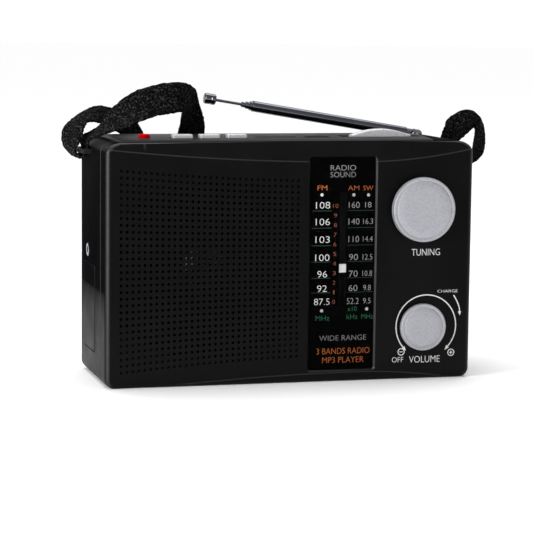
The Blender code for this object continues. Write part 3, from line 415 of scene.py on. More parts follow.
def post(spot, half_x, half_y, z_low, z_high, bevel=0.0, segments=3):
    """A block about a place, between two heights."""
    return block((spot.x - half_x, spot.y - half_y, z_low), (spot.x + half_x, spot.y + half_y, z_high),
                 bevel, segments)


def sweep(start, turn, steps):
    """Cosine and sine of each angle from a start through a turn, in degrees."""
    angles = [math.radians(start + turn * k / steps) for k in range(steps + 1)]
    return [(math.cos(angle), math.sin(angle)) for angle in angles]


def rounded_rectangle(x_low, x_high, z_low, z_high, radius, steps=6):
    """Points round a rectangle with rounded corners, anticlockwise."""
    points = []
    for x, z, start in ((x_high - radius, z_low + radius, -90.0),
                        (x_high - radius, z_high - radius, 0.0),
                        (x_low + radius, z_high - radius, 90.0),
                        (x_low + radius, z_low + radius, 180.0)):
        points += [(x + radius * c, z + radius * s) for c, s in sweep(start, 90.0, steps)]
    return points


def spun(profile, place, axis, segments=64, closed=False):
    """A profile of (radius, height) turned round an axis."""
    matrix = Matrix.Translation(place) @ Vector(axis).to_track_quat("Z", "Y").to_matrix().to_4x4()
    bm = bmesh.new()
    rows = []
    for radius, height in profile:
        if radius < 1e-6:
            rows.append([bm.verts.new(matrix @ Vector((0.0, 0.0, height)))] * segments)
        else:
            rows.append([bm.verts.new(matrix @ Vector((radius * math.cos(TAU * i / segments),
                                                       radius * math.sin(TAU * i / segments),
                                                       height))) for i in range(segments)])
    pairs = list(zip(rows, rows[1:]))
    if closed:
        pairs.append((rows[-1], rows[0]))
    for before, after in pairs:
        for i in range(segments):
            j = (i + 1) % segments
            face = list(dict.fromkeys((before[i], before[j], after[j], after[i])))
            if len(face) > 2:
                bm.faces.new(face)
    bmesh.ops.recalc_face_normals(bm, faces=bm.faces)
    return to_mesh(bm)


def rod(radius, low, high, place, axis, segments=24):
    return spun(((0.0, low), (radius, low), (radius, high), (0.0, high)), place, axis, segments)


def tube(points, radius, sides):
    """A round bar that follows points."""
    points = [Vector(point) for point in points]
    rings = []
    across = None
    for i, point in enumerate(points):
        ahead = (points[min(i + 1, len(points) - 1)] - points[max(i - 1, 0)]).normalized()
        if across is None:
            across = ahead.orthogonal().normalized()
        across = (across - ahead * across.dot(ahead)).normalized()
        other = ahead.cross(across)
        rings.append([point + radius * (math.cos(TAU * k / sides) * across
                                        + math.sin(TAU * k / sides) * other)
                      for k in range(sides)])
    return loft(rings)


def carve(mesh, cutters, operation="DIFFERENCE"):
    """The mesh with others cut from it, or joined to it."""
    scene = bpy.context.scene
    target = bpy.data.objects.new("carve", mesh)
    scene.collection.objects.link(target)
    helpers = []
    for cutter in cutters:
        helper = bpy.data.objects.new("cutter", cutter)
        scene.collection.objects.link(helper)
        helpers.append(helper)
        modifier = target.modifiers.new("Carve", "BOOLEAN")
        modifier.operation = operation
        modifier.object = helper
        modifier.solver = "EXACT"
    bpy.context.view_layer.update()
    finished = target.evaluated_get(bpy.context.evaluated_depsgraph_get())
    result = bpy.data.meshes.new_from_object(finished)
    for obj in helpers + [target]:
        bpy.data.objects.remove(obj)
    return result


# ---------------------------------------------------------------- case

def crease_height(x):
    radius = CREASE_RADIUS_LEFT if x < CREASE_X else CREASE_RADIUS_RIGHT
    return CREASE_Z + (x - CREASE_X) ** 2 / (2.0 * radius)


def case_outline(inset, y):
    """The case as seen from the front, drawn in by an inset."""
    half = HALF_WIDTH - inset
    ring = []
    for x, z, corner, start in ((half, inset, BOTTOM_CORNER, -90.0),
                                (half, HEIGHT - inset, TOP_CORNER, 0.0),
                                (-half, HEIGHT - inset, TOP_CORNER, 90.0),
                                (-half, inset, BOTTOM_CORNER, 180.0)):
        radius_x, radius_z = (max(size - inset, 0.5) for size in corner)
        middle_x = x - math.copysign(radius_x, x)
        middle_z = z + radius_z if z < MIDDLE_Z else z - radius_z
        ring += [(middle_x + radius_x * c, y, middle_z + radius_z * s)
                 for c, s in sweep(start, 90.0, 12)]
    return ring


def half_shell(edge, rim_y, inward, parting_y):
    """A solid half of the case, rounded at its rim and eased where the halves part."""
    rings = [case_outline(edge * (1.0 - s), rim_y + inward * edge * (1.0 - c))
             for c, s in sweep(0.0, 90.0, 8)]
    return loft(rings + [case_outline(0.0, parting_y - inward * PARTING_EDGE),
                         case_outline(PARTING_EDGE, parting_y)])


def band_cutter(upward):
    """Takes away what stands before the sloping band; its first steps round the crease."""
    rings = []
    reach, count, soft, top = HALF_WIDTH + 5.0, 110, 0.9, HEIGHT + 10.0
    for i in range(count + 1):
        x = -reach + 2.0 * reach * i / count
        crease = crease_height(x)
        section = [(crease - soft - 1.0, FRONT_Y - 0.04), (crease - soft, FRONT_Y + 0.001)]
        for step in range(1, 6):
            t = step / 5.0
            section.append((crease - soft + 2.0 * soft * t,
                            FRONT_Y + BAND_SLOPE * soft * t * t + 0.001))
        section += [(top, FRONT_Y + BAND_SLOPE * (top - crease)), (top, FRONT_Y - 4.0),
                    (crease - soft - 1.0, FRONT_Y - 4.0)]
        rings.append([(x, y, z if upward else 2.0 * MIDDLE_Z - z) for z, y in section])
    return loft(rings)


def grille_point(j, i):
    """Corner of a grille cell; columns count from the left and rows from the top."""
    pitch = (GRILLE_RIGHT - GRILLE_LEFT) / (GRILLE_COUNT - 1)
    x = GRILLE_LEFT - pitch / 2.0 + pitch * j
    top = crease_height(x) - GRILLE_DROP
    pitch = 2.0 * (top - MIDDLE_Z) / (GRILLE_COUNT - 1)
    return x, top + pitch / 2.0 - pitch * i


def grille_edge():
    """The corners round the outside of the field of cells, once round."""
    n = GRILLE_COUNT
    edge = [(j, n) for j in range(n)] + [(n, n - i) for i in range(n)]
    edge += [(n - j, 0) for j in range(n)] + [(0, i) for i in range(n)]
    return [grille_point(j, i) for j, i in edge]


def grille_cells():
    """The field of holes between the front and back of the wall, open round its outside."""
    bm = bmesh.new()
    shared = {}

    def face(points, flip=False):
        verts = []
        for x, y, z in points:
            key = (round(x, 4), round(y, 4), round(z, 4))
            if key not in shared:
                shared[key] = bm.verts.new((x, y, z))
            verts.append(shared[key])
        bm.faces.new(verts[::-1] if flip else verts)

    back_y, quarter = FRONT_Y + FRONT_WALL, GRILLE_SIDES // 4
    for j in range(GRILLE_COUNT):
        for i in range(GRILLE_COUNT):
            square = [grille_point(j, i + 1), grille_point(j + 1, i + 1),
                      grille_point(j + 1, i), grille_point(j, i)]
            x, z = (sum(point[k] for point in square) / 4.0 for k in (0, 1))
            through = math.hypot((x - SPEAKER.x) / OPEN_HALF_WIDTH,
                                 (z - MIDDLE_Z) / OPEN_HALF_HEIGHT) < 1.0
            turns = [TAU * k / GRILLE_SIDES + TAU * 0.625 for k in range(GRILLE_SIDES)]
            hole = [(x + GRILLE_RADIUS * math.cos(turn), z + GRILLE_RADIUS * math.sin(turn))
                    for turn in turns]
            for y, flip in ((FRONT_Y, False), (back_y, True)):
                if flip and not through:
                    face([(px, y, pz) for px, pz in square], True)
                    continue
                for side in range(4):
                    curve = [hole[(side * quarter + k) % GRILLE_SIDES] for k in range(quarter + 1)]
                    outline = [square[side], square[(side + 1) % 4]] + curve[::-1]
                    face([(px, y, pz) for px, pz in outline], flip)
            floor_y = back_y if through else FRONT_Y + BLIND_DEPTH
            for k in range(GRILLE_SIDES):
                (xa, za), (xb, zb) = hole[k], hole[(k + 1) % GRILLE_SIDES]
                face([(xa, FRONT_Y, za), (xb, FRONT_Y, zb), (xb, floor_y, zb), (xa, floor_y, za)])
            if not through:
                face([(px, floor_y, pz) for px, pz in hole])
    return to_mesh(bm)


def window_cutter():
    """The dial opening with a sloping border and rounded corners."""
    low, high = corners("dial_lens")
    rings = []
    for y, out in ((FRONT_Y - 2.0, 3.0), (FRONT_Y + 0.95, 0.05), (FRONT_Y + 1.1, 0.0),
                   (FRONT_Y + FRONT_WALL + 2.0, 0.0)):
        rings.append([(x, y, z) for x, z in rounded_rectangle(
            low.x - out, high.x + out, low.z - out, high.z + out, 1.2 + out * 0.6)])
    return loft(rings)


def deck_opening():
    low, high = corners("top_panel")
    return block((low.x - 0.3, low.y - 0.3, HEIGHT - 8.0), (high.x + 0.3, high.y + 0.3, HEIGHT + 8.0))


def build_front_cabinet():
    hollow = loft([case_outline(WALL, FRONT_Y + FRONT_WALL), case_outline(WALL, PARTING_Y + 1.0)])
    cutters = [hollow, band_cutter(True), band_cutter(False), window_cutter(), deck_opening()]
    for node in ("tuning_spindle", "volume_shaft"):
        low, high = corners(node)
        spot = centre(node)
        cutters.append(rod((high.x - low.x) / 2.0 + 1.0, FRONT_Y - 2.0, FRONT_Y + FRONT_WALL + 2.0,
                           (spot.x, 0.0, spot.z), BACKWARD, 48))
    edge = grille_edge()
    cutters.append(prism(edge, FRONT_Y - 1.0, FRONT_Y + FRONT_WALL + 1.0))
    bm = bmesh.new()
    bm.from_mesh(carve(half_shell(FRONT_EDGE, FRONT_Y, 1.0, PARTING_Y), cutters))
    rim = np.array(edge)
    walls = [face for face in bm.faces if abs(face.normal.y) < 0.1
             and all(np.min(np.hypot(rim[:, 0] - v.co.x, rim[:, 1] - v.co.z)) < 0.02
                     for v in face.verts)]
    bmesh.ops.delete(bm, geom=walls, context="FACES")
    bm.from_mesh(grille_cells())
    bmesh.ops.remove_doubles(bm, verts=bm.verts, dist=0.004)
    piece("front_cabinet_shell", to_mesh(bm), BLACK, "case", ["front_cabinet"], 30.0)


# ---------------------------------------------------------------- rear of the case

def bar_cutter(x_low, x_high, y_low, y_high, z_low, z_high, radius):
    """A block with rounded corners as seen from behind."""
    return prism(rounded_rectangle(x_low, x_high, z_low, z_high, radius), y_low, y_high)


def build_rear_cabinet():
    hollow = loft([case_outline(WALL, PARTING_Y - 1.0), case_outline(WALL, BACK_Y - WALL)])
    left, back_of_deck = corners("top_panel")[0].x, corners("top_panel")[1].y
    far_x, far_y, far_z = 120.0, BACK_Y + 10.0, 150.0
    solid = [block((-far_x, back_of_deck - 2.0, TROUGH_FLOOR - WALL), (far_x, far_y, far_z)),
             block((PIVOT.x - 12.0, PIVOT.y - 10.0, 106.0), (far_x, far_y, far_z))]
    trough = []
    for z, out in ((TROUGH_FLOOR, 0.0), (HEIGHT - 0.5, 0.0), (HEIGHT + 3.0, 3.5)):
        x_low, x_high, y = left - out, PIVOT.x + 7.0 + out, TROUGH_FRONT - min(out, 0.4)
        trough.append([(x_low, y, z), (x_high, y, z), (x_high, far_y, z), (x_low, far_y, z)])
    ledge = TROUGH_FLOOR - 0.5
    pocket = spun(((0.0, 109.0), (2.4, 109.0), (2.4, ledge), (7.0, ledge), (7.0, far_z), (0.0, far_z)),
                  (PIVOT.x, PIVOT.y, 0.0), UPWARD, 48)
    low, high = corners("battery_door")
    door_hole = bar_cutter(low.x - 0.4, high.x + 0.4, BACK_Y - 6.0, BACK_Y + 6.0, low.z - 1.0,
                           high.z + 0.4, 1.5)
    jack = centre("earphone_jack")
    jack_hole = spun(((0.0, -5.0), (3.2, -5.0), (3.2, -0.5), (4.2, 0.5), (4.2, 2.0), (0.0, 2.0)),
                     (-HALF_WIDTH, jack.y, jack.z), LEFTWARD, 40)
    low, high = corners("side_panel")
    outline = rounded_rectangle(low.y - 0.5, high.y + 0.5, low.z - 0.5, high.z + 0.5, 3.5)
    recess = loft([[(x, y, z) for y, z in outline] for x in (-HALF_WIDTH - 2.0, -HALF_WIDTH + 1.0)])
    cutters = [carve(hollow, solid), deck_opening(), loft(trough), pocket, door_hole, jack_hole, recess]
    for spot in SCREWS:
        cutters.append(spun(((0.0, -6.0), (1.8, -6.0), (1.8, -1.3), (3.6, -1.3), (3.6, -0.25),
                             (4.1, 0.25), (4.1, 2.0), (0.0, 2.0)),
                            (spot.x, BACK_Y, spot.z), BACKWARD, 40))
    for i in range(VENT_COUNT):
        z = VENT_LOW + VENT_PITCH * i
        cutters.append(bar_cutter(VENT_LEFT, VENT_RIGHT, BACK_Y - 1.0, BACK_Y + 2.0, z, z + VENT_WIDTH,
                                  0.7))
    piece("rear_cabinet_shell", carve(half_shell(BACK_EDGE, BACK_Y, -1.0, REAR_LOW.y), cutters), BLACK,
          "case", ["rear_cabinet"], 30.0)


def build_side_fittings():
    low, high = corners("side_panel")
    outer = rounded_rectangle(low.y, high.y, low.z, high.z, 3.0, 8)
    inner = rounded_rectangle(low.y + 0.5, high.y - 0.5, low.z + 0.5, high.z - 0.5, 2.6, 8)
    rings = [[(high.x, y, z) for y, z in outer], [(low.x + 0.5, y, z) for y, z in outer],
             [(low.x + 0.15, y + (m - y) * 0.3, z + (n - z) * 0.3)
              for (y, z), (m, n) in zip(outer, inner)], [(low.x, y, z) for y, z in inner]]
    piece("side_panel_cover", loft(rings), BLACK, "case", ["side_panel"])
    jack = centre("earphone_jack")
    profile = ((1.75, 0.35), (2.0, 0.8), (3.3, 0.8), (3.6, 0.5), (3.6, 0.0), (2.8, -0.2),
               (2.8, -12.0), (1.75, -12.0))
    piece("earphone_jack_bush", spun(profile, (-HALF_WIDTH, jack.y, jack.z), LEFTWARD, 48, True),
          CHROME, "case", ["earphone_jack"])


def build_screws():
    profile = ((0.0, 1.0), (1.6, 0.98), (2.4, 0.75), (3.0, 0.25), (3.0, 0.0), (1.4, 0.0),
               (1.4, -7.0), (0.0, -8.0))
    for i, spot in enumerate(SCREWS, 1):
        head = spun(profile, (spot.x, BACK_Y - 1.0, spot.z), BACKWARD, 32)
        cross = [block((spot.x - w, BACK_Y - 0.7, spot.z - h), (spot.x + w, BACK_Y + 2.0, spot.z + h))
                 for w, h in ((1.5, 0.28), (0.28, 1.5))]
        piece("case_screw_head_%d" % i, carve(head, cross), STEEL, "case",
              ["case_screw_%d" % i])


def build_battery_door():
    low, high = corners("battery_door")
    cutters = [bar_cutter(-12.0, 12.0, BACK_Y - 0.8, BACK_Y + 2.0, high.z - 5.6 - 2.2 * i,
                          high.z - 4.6 - 2.2 * i, 0.45) for i in range(4)]
    arrow = [(-4.0, high.z - 15.0), (4.0, high.z - 15.0), (0.0, high.z - 20.0)]
    cutters.append(prism(arrow, BACK_Y - 0.5, BACK_Y + 2.0))
    piece("battery_door_panel", carve(block(low, high, 0.5), cutters), BLACK, "door",
          ["battery_door"])


# ---------------------------------------------------------------- deck

def deck_height(y):
    return DECK_TOP - y * y / (2.0 * DECK_CROWN_RADIUS)


def slot_cutter(low, high, clearance, radius):
    """A slot through the deck, with a small slope round its mouth."""
    top, flare = deck_height((low.y + high.y) / 2.0), 0.35
    rings = []
    for z, out in ((119.0, 0.0), (top - flare, 0.0), (top + 0.6, flare + 0.6), (136.0, flare + 0.6)):
        out += clearance
        rings.append([(x, y, z) for x, y in rounded_rectangle(
            low.x - out, high.x + out, low.y - out, high.y + out, radius + out)])
    return loft(rings)


def build_top_panel():
    low, high = corners("top_panel")
    rings = []
    count, edge = 24, DECK_EDGE
    for i in range(count + 1):
        y = low.y + (high.y - low.y) * i / count
        top = deck_height(y)
        end = 0.5 if i in (0, count) else 0.0
        ring = [(low.x, y, top - DECK_THICKNESS), (high.x, y, top - DECK_THICKNESS)]
        for x, start in ((high.x - edge, 0.0), (low.x + edge, 90.0)):
            ring += [(x + edge * c, y, top - end - edge + edge * s) for c, s in sweep(start, 90.0, 4)]
        rings.append(ring)
    slots = [(node, KEY_HALF_X, KEY_HALF_Y, 0.35, 0.8) for node in KEYS]
    slots += [("mode_button", 3.0, 3.0, 0.35, 2.95), ("band_switch", 22.5, 3.5, 0.0, 1.5)]
    cutters = []
    for node, half_x, half_y, clearance, radius in slots:
        spot, reach = centre(node), Vector((half_x, half_y, 0.0))
        cutters.append(slot_cutter(spot - reach, spot + reach, clearance, radius))
    for node, radius in (("card_socket", 1.2), ("usb_socket", 1.3)):
        cutters.append(slot_cutter(*corners(node), -0.8, radius))
    piece("deck_panel", carve(loft(rings), cutters), DECK, "case", ["top_panel"])


def build_buttons():
    for node in KEYS:
        low, high = corners(node)
        spot = centre(node)
        cap = post(spot, KEY_HALF_X, KEY_HALF_Y, high.z - 5.5, high.z, 0.7, 4)
        for vertex in cap.vertices:
            if vertex.co.z > high.z - 0.01:
                vertex.co.z -= 0.25 * (1.0 - ((vertex.co.x - spot.x) / KEY_HALF_X) ** 2)
        flange_top = high.z - 5.0
        skirt = post(spot, 6.2, 4.1, flange_top - 1.0, flange_top, 0.2, 2)
        stem = rod(1.5, low.z, flange_top - 0.5, (spot.x, spot.y, 0.0), UPWARD)
        piece(node + "_key", carve(cap, [skirt, stem], "UNION"), BUTTON_SILVER,
              node.replace("_button", ""), [node])
    low, high = corners("mode_button")
    spot, top = centre("mode_button"), high.z
    profile = ((0.0, top), (1.4, top - 0.04), (2.2, top - 0.16), (2.75, top - 0.5), (3.0, top - 1.1),
               (3.0, top - 4.9), (4.0, top - 5.1), (4.0, top - 5.9), (1.5, top - 6.0), (1.5, low.z),
               (0.0, low.z))
    piece("mode_button_cap", spun(profile, (spot.x, spot.y, 0.0), UPWARD, 48), RED, "mode",
          ["mode_button"])


def build_band_knob():
    spot = centre("band_knob")
    rings = []
    count, edge = 64, SLIDER_EDGE
    for i in range(count + 1):
        share = -1.0 + 2.0 * i / count
        grip = 0.18 if 22 < i < 42 and i % 2 else 0.0
        top = SLIDER_TOP + SLIDER_RISE * math.cos(share * math.pi / 2.0)
        x = spot.x + SLIDER_HALF_LENGTH * share
        ring = [(x, spot.y - SLIDER_HALF_WIDTH, 125.0), (x, spot.y + SLIDER_HALF_WIDTH, 125.0)]
        for side, start in ((1.0, 0.0), (-1.0, 90.0)):
            ring += [(x, spot.y + side * (SLIDER_HALF_WIDTH - edge) + edge * c,
                      top - grip - edge + edge * s) for c, s in sweep(start, 90.0, 5)]
        rings.append(ring)
    slide = post(spot, 19.0, 5.5, 124.2, 125.4, 0.2, 2)
    lever = post(spot, 2.0, 1.5, 120.0, 124.6)
    piece("band_slider", carve(loft(rings), [slide, lever], "UNION"), BUTTON_SILVER, "band",
          ["band_knob"])


def build_deck_marks():
    """Printed play and pause symbols beside the keys."""
    y = centre("play_button").y

    def patch(points):
        return loft([[(px, py, deck_height(py) + lift) for px, py in points] for lift in (0.03, -0.05)])

    def arrow(x, way, size=1.1):
        return patch([(x - way * size / 2.0, y - size / 1.6), (x + way * size / 2.0, y),
                      (x - way * size / 2.0, y + size / 1.6)][::way])

    marks = [arrow(x, way) for x, way in ((-63.6, -1), (-62.4, -1), (-49.2, 1), (-34.4, 1),
                                          (-33.2, 1), (-18.7, 1))]
    marks += [patch([(x - 0.2, y - 0.6), (x + 0.2, y - 0.6), (x + 0.2, y + 0.6), (x - 0.2, y + 0.6)])
              for x in (-48.2, -47.5)]
    piece("deck_marks", joined(marks), INK_BLACK, "case")


# ---------------------------------------------------------------- dial

def build_dial():
    low, high = corners("dial_lens")
    outline = rounded_rectangle(low.x, high.x, low.z, high.z, 1.2)
    inner = rounded_rectangle(low.x + 0.25, high.x - 0.25, low.z + 0.25, high.z - 0.25, 1.0)
    rings = [[(x, FACE_Y - 0.05, z) for x, z in outline],
             [(x, FRONT_Y + 0.45, z) for x, z in outline],
             [(x, FRONT_Y + 0.2, z) for x, z in inner]]
    piece("dial_window", loft(rings), LENS, "case", ["dial_lens"])
    slot = bar_cutter(SCALE_X - 2.1, SCALE_X + 2.1, FRONT_Y - 2.0, FRONT_Y + 4.0, SLOT_LOW - 0.6,
                      SLOT_HIGH + 0.6, 0.8)
    piece("dial_plate", carve(prism(outline, FACE_Y, FRONT_Y + 1.6), [slot]), DIAL_BLACK, "case")
    low, high = corners("dial_scale")
    slot = bar_cutter(SCALE_X - 2.0, SCALE_X + 2.0, low.y - 2.0, high.y + 2.0, SLOT_LOW - 3.0,
                      SLOT_HIGH + 3.0, 0.8)
    piece("dial_backing", carve(block(low, high, 0.3, 2), [slot]), SLOT_GREY, "case",
          ["dial_scale"])
    low, high = corners("dial_pointer")
    x, y, z = SCALE_X, low.y, (low.z + high.z) / 2.0
    flag = block((x - 2.3, y, z - 2.3), (x + 2.3, y + 0.9, z + 2.3), 0.25, 3)
    neck = block((x - 1.2, y + 0.6, z - 1.8), (x + 0.9, y + 3.3, z + 1.5))
    carriage = block((x - 6.0, y + 2.7, z - 2.4), (x + 6.0, y + 4.1, z + 1.6), 0.3, 2)
    clip = block((x - 2.2, y + 3.7, z - 1.2), (x + 2.0, high.y, z + 1.2))
    piece("dial_pointer_flag", carve(flag, [neck, carriage, clip], "UNION"), WHITE_PLASTIC,
          "pointer", ["dial_pointer"])


# ---------------------------------------------------------------- lettering

def glyphs(text, x, z, height, width, y):
    """Lettering that faces the front, scaled to a cap height and a width."""
    data = bpy.data.curves.new("text", "FONT")
    data.body = text
    data.size = 10.0
    data.extrude = 0.5
    data.resolution_u = 3
    data.offset = -0.12
    holder = bpy.data.objects.new("text", data)
    bpy.context.scene.collection.objects.link(holder)
    bpy.context.view_layer.update()
    finished = holder.evaluated_get(bpy.context.evaluated_depsgraph_get())
    mesh = bpy.data.meshes.new_from_object(finished)
    bpy.data.objects.remove(holder)
    co = np.empty(len(mesh.vertices) * 3)
    mesh.vertices.foreach_get("co", co)
    co = co.reshape(-1, 3)
    share = (co - co.min(0)) / (co.max(0) - co.min(0))
    out = np.empty_like(co)
    out[:, 0] = x + (share[:, 0] - 0.5) * width
    out[:, 2] = z + (share[:, 1] - 0.5) * height
    out[:, 1] = y - share[:, 2] * PRINT_DEPTH
    mesh.vertices.foreach_set("co", out.ravel())
    bm = bmesh.new()
    bm.from_mesh(mesh)
    bmesh.ops.remove_doubles(bm, verts=bm.verts, dist=0.002)
    bmesh.ops.dissolve_degenerate(bm, dist=0.0005, edges=bm.edges)
    bmesh.ops.recalc_face_normals(bm, faces=bm.faces)
    return to_mesh(bm)


def flat_shape(points, y, depth=PRINT_DEPTH):
    """A flat printed shape from its outline in x and z."""
    return prism(points, y, y - depth)


def bar(x, z, half_x, half_z, y, depth=PRINT_DEPTH):
    return flat_shape([(x - half_x, z - half_z), (x + half_x, z - half_z), (x + half_x, z + half_z),
                       (x - half_x, z + half_z)], y, depth)


def dot(x, z, radius, y, sides=24):
    return flat_shape([(x + radius * math.cos(TAU * k / sides), z + radius * math.sin(TAU * k / sides))
                       for k in range(sides)], y)


def stroke(points, width, y):
    """A printed line of even width through points."""
    left, right = [], []
    for i, (x, z) in enumerate(points):
        before, after = points[max(i - 1, 0)], points[min(i + 1, len(points) - 1)]
        run = Vector((after[0] - before[0], after[1] - before[1])).normalized()
        left.append((x - run.y * width / 2.0, z + run.x * width / 2.0))
        right.append((x + run.y * width / 2.0, z - run.x * width / 2.0))
    return [flat_shape([left[i], right[i], right[i + 1], left[i + 1]], y)
            for i in range(len(points) - 1)]


def ring_mark(x, z, radius, width, y):
    inner, outer = radius - width / 2.0, radius + width / 2.0
    profile = ((inner, 0.0), (outer, 0.0), (outer, PRINT_DEPTH), (inner, PRINT_DEPTH))
    return spun(profile, (x, y, z), FORWARD, 40, True)


def arrow_head(x, z, direction, length, width, y):
    run, base = Vector(direction).normalized(), Vector((x, z))
    side = Vector((-run.y, run.x))
    return flat_shape([tuple(base + run * length), tuple(base + side * width / 2.0),
                       tuple(base - side * width / 2.0)], y)


# A dial row: its height, then the text and width of its FM, AM and SW numbers
DIAL_ROWS = ((94.3, "108", 7.8, "160", 6.0, "18", 3.5), (85.5, "106", 7.8, "140", 6.0, "16.3", 5.4),
             (76.1, "103", 7.8, "110", 5.8, "14.4", 5.4), (66.5, "100", 7.8, "90", 4.9, "12.5", 5.4),
             (57.7, "96", 5.4, "70", 4.9, "10.8", 5.4), (50.0, "92", 5.4, "60", 4.9, "9.8", 4.2),
             (43.0, "87.5", 8.6, "52.2", 6.6, "9.5", 4.2))
# Other words on the dial: text, x, z, cap height and width
ORANGE_WORDS = (("FM", 15.9, 103.5, 2.5, 5.3), ("AM", 33.1, 103.3, 2.5, 6.2),
                ("SW", 41.2, 103.2, 2.5, 5.5), ("3 BANDS RADIO", 28.6, 16.4, 3.2, 29.5),
                ("MP3 PLAYER", 28.6, 11.6, 3.2, 23.0))
GREEN_WORDS = (("MHz", 16.9, 34.2, 2.5, 7.6), ("x10", 33.3, 38.9, 2.5, 5.0),
               ("kHz", 33.3, 34.6, 2.5, 6.0), ("MHz", 41.8, 34.6, 2.5, 6.6))
GREY_WORDS = (("WIDE RANGE", 28.3, 23.4, 2.8, 26.0), ("RADIO", 27.3, 114.0, 2.8, 14.0),
              ("SOUND", 27.3, 110.4, 2.8, 14.0))
CASE_WORDS = (("TUNING", 73.8, 68.5, 3.6, 16.0), ("VOLUME", 74.2, 10.6, 3.6, 17.4),
              ("OFF", 59.0, 10.7, 2.8, 6.4), ("CHARGE", 86.6, 47.2, 1.5, 11.5))
FM_X, SMALL_SCALE_X, AM_X, SW_X = 16.4, 23.4, 33.6, 41.4


def build_dial_print():
    y = FACE_Y - 0.01
    white, pale, small = [], [], []
    for z, fm, fm_width, am, am_width, sw, sw_width in DIAL_ROWS:
        white.append(glyphs(fm, FM_X, z, 3.5, fm_width, y))
        pale.append(glyphs(am, AM_X, z, 3.2, am_width, y))
        pale.append(glyphs(sw, SW_X, z, 2.9, sw_width, y))
    white += [dot(x, z, 0.85, y) for x, z in ((15.7, 99.8), (33.3, 99.6), (41.4, 99.5), (16.4, 38.2),
                                              (41.4, 38.6))]
    for k in range(11):
        z = 93.9 + (42.8 - 93.9) * k / 10.0
        width = {10: 3.0, 1: 0.7}.get(10 - k, 1.6)
        small.append(glyphs(str(10 - k), SMALL_SCALE_X - 0.05 * k, z, 2.1, width, y))
    lines = [bar(x, z, half, 0.14, y) for z in (91.3, 82.2, 72.9, 64.2, 55.5, 47.8)
             for x, half in ((15.65, 5.35), (37.3, 7.3))]
    words = [[glyphs(*word, y) for word in group] for group in (ORANGE_WORDS, GREEN_WORDS, GREY_WORDS)]
    for name, meshes, ink in (("dial_white_print", white, INK_WHITE),
                              ("dial_pale_print", pale, INK_PALE),
                              ("dial_orange_print", words[0], INK_ORANGE),
                              ("dial_small_scale_print", small, INK_DIM_ORANGE),
                              ("dial_green_print", words[1], INK_GREEN),
                              ("dial_line_print", lines, INK_DARK_GREEN),
                              ("dial_grey_print", words[2], INK_GREY)):
        piece(name, joined(meshes), ink, "case")


def build_case_print():
    y = FRONT_Y + 0.01
    white = [glyphs(*word, y) for word in CASE_WORDS]
    middle_x, middle_z, radius, start, end = 74.7, 28.5, 16.9, -42.0, 221.0
    arc = [(middle_x + radius * c, middle_z + radius * s) for c, s in sweep(start, end - start, 64)]
    white += stroke(arc, 0.62, y)
    for angle, way in ((start, -1.0), (end, 1.0)):
        c, s = math.cos(math.radians(angle)), math.sin(math.radians(angle))
        white.append(arrow_head(middle_x + radius * c, middle_z + radius * s, (-way * s, way * c),
                                2.6, 2.0, y))
    for x, z in ((60.9, 14.9), (89.2, 13.8)):
        white.append(ring_mark(x, z, 1.75, 0.42, y))
        white.append(bar(x, z, 0.9, 0.2, y))
    white.append(bar(89.2, 13.8, 0.2, 0.9, y, 0.045))
    white += stroke([(90.1 + 3.6 * math.sin(math.radians(9.0 * k)), 44.9 - 9.0 * k / 10.0)
                     for k in range(11)], 0.6, y)
    white.append(arrow_head(93.7, 36.0, (0.05, -1.0), 2.2, 1.7, y))
    piece("case_white_print", joined(white), INK_WHITE, "case")


# ---------------------------------------------------------------- knobs

def build_knob(name, shaft):
    low, high = corners(name + "_knob")
    spot = centre(name + "_knob")
    place = (spot.x, FRONT_Y, spot.z)
    radius = (high.x - low.x) / 2.0
    height, lift = FRONT_Y - corners(name + "_knob_face")[0].y, FRONT_Y - high.y
    # The black body shows as a band at the foot of the knob's side, below the silver cap: a two-tone
    # knob, and partly painted shade where the side meets the case.
    split = lift + 0.22 * height
    bore = (corners(shaft)[1].x - spot.x) + 0.3
    base = ((0.0, height - 2.2), (radius - 2.0, height - 2.2), (radius - 2.0, split),
            (radius - 0.2, split), (radius - 0.1, split - 0.15), (radius - 0.1, lift + 0.2),
            (radius - 0.3, lift), (bore, lift), (bore, height - 3.4), (0.0, height - 3.4))
    piece(name + "_knob_body", spun(base, place, FORWARD, 96), BLACK, name,
          [name + "_knob"])
    flat, slope = radius - 6.3, 4.2
    cap = [(0.0, height), (flat, height - 0.02)]
    cap += [(flat + slope * k / 8.0, height - 0.02 - 0.62 * (k / 8.0) ** 2) for k in range(1, 9)]
    cap += [(radius - 1.75, height - 1.0), (radius - 1.97, height - 1.0),
            (radius - 1.55, height - 0.72)]
    cap += [(radius - 0.7 + 0.7 * c, height - 1.3 + 0.62 * s) for c, s in sweep(90.0, -90.0, 6)]
    cap += [(radius, split + 0.15), (radius - 0.15, split), (radius - 1.9, split),
            (radius - 1.9, height - 2.1), (0.0, height - 2.1)]
    piece(name + "_knob_cap", spun(cap, place, FORWARD, 96), SILVER, name,
          [name + "_knob_face"])


# ---------------------------------------------------------------- antenna

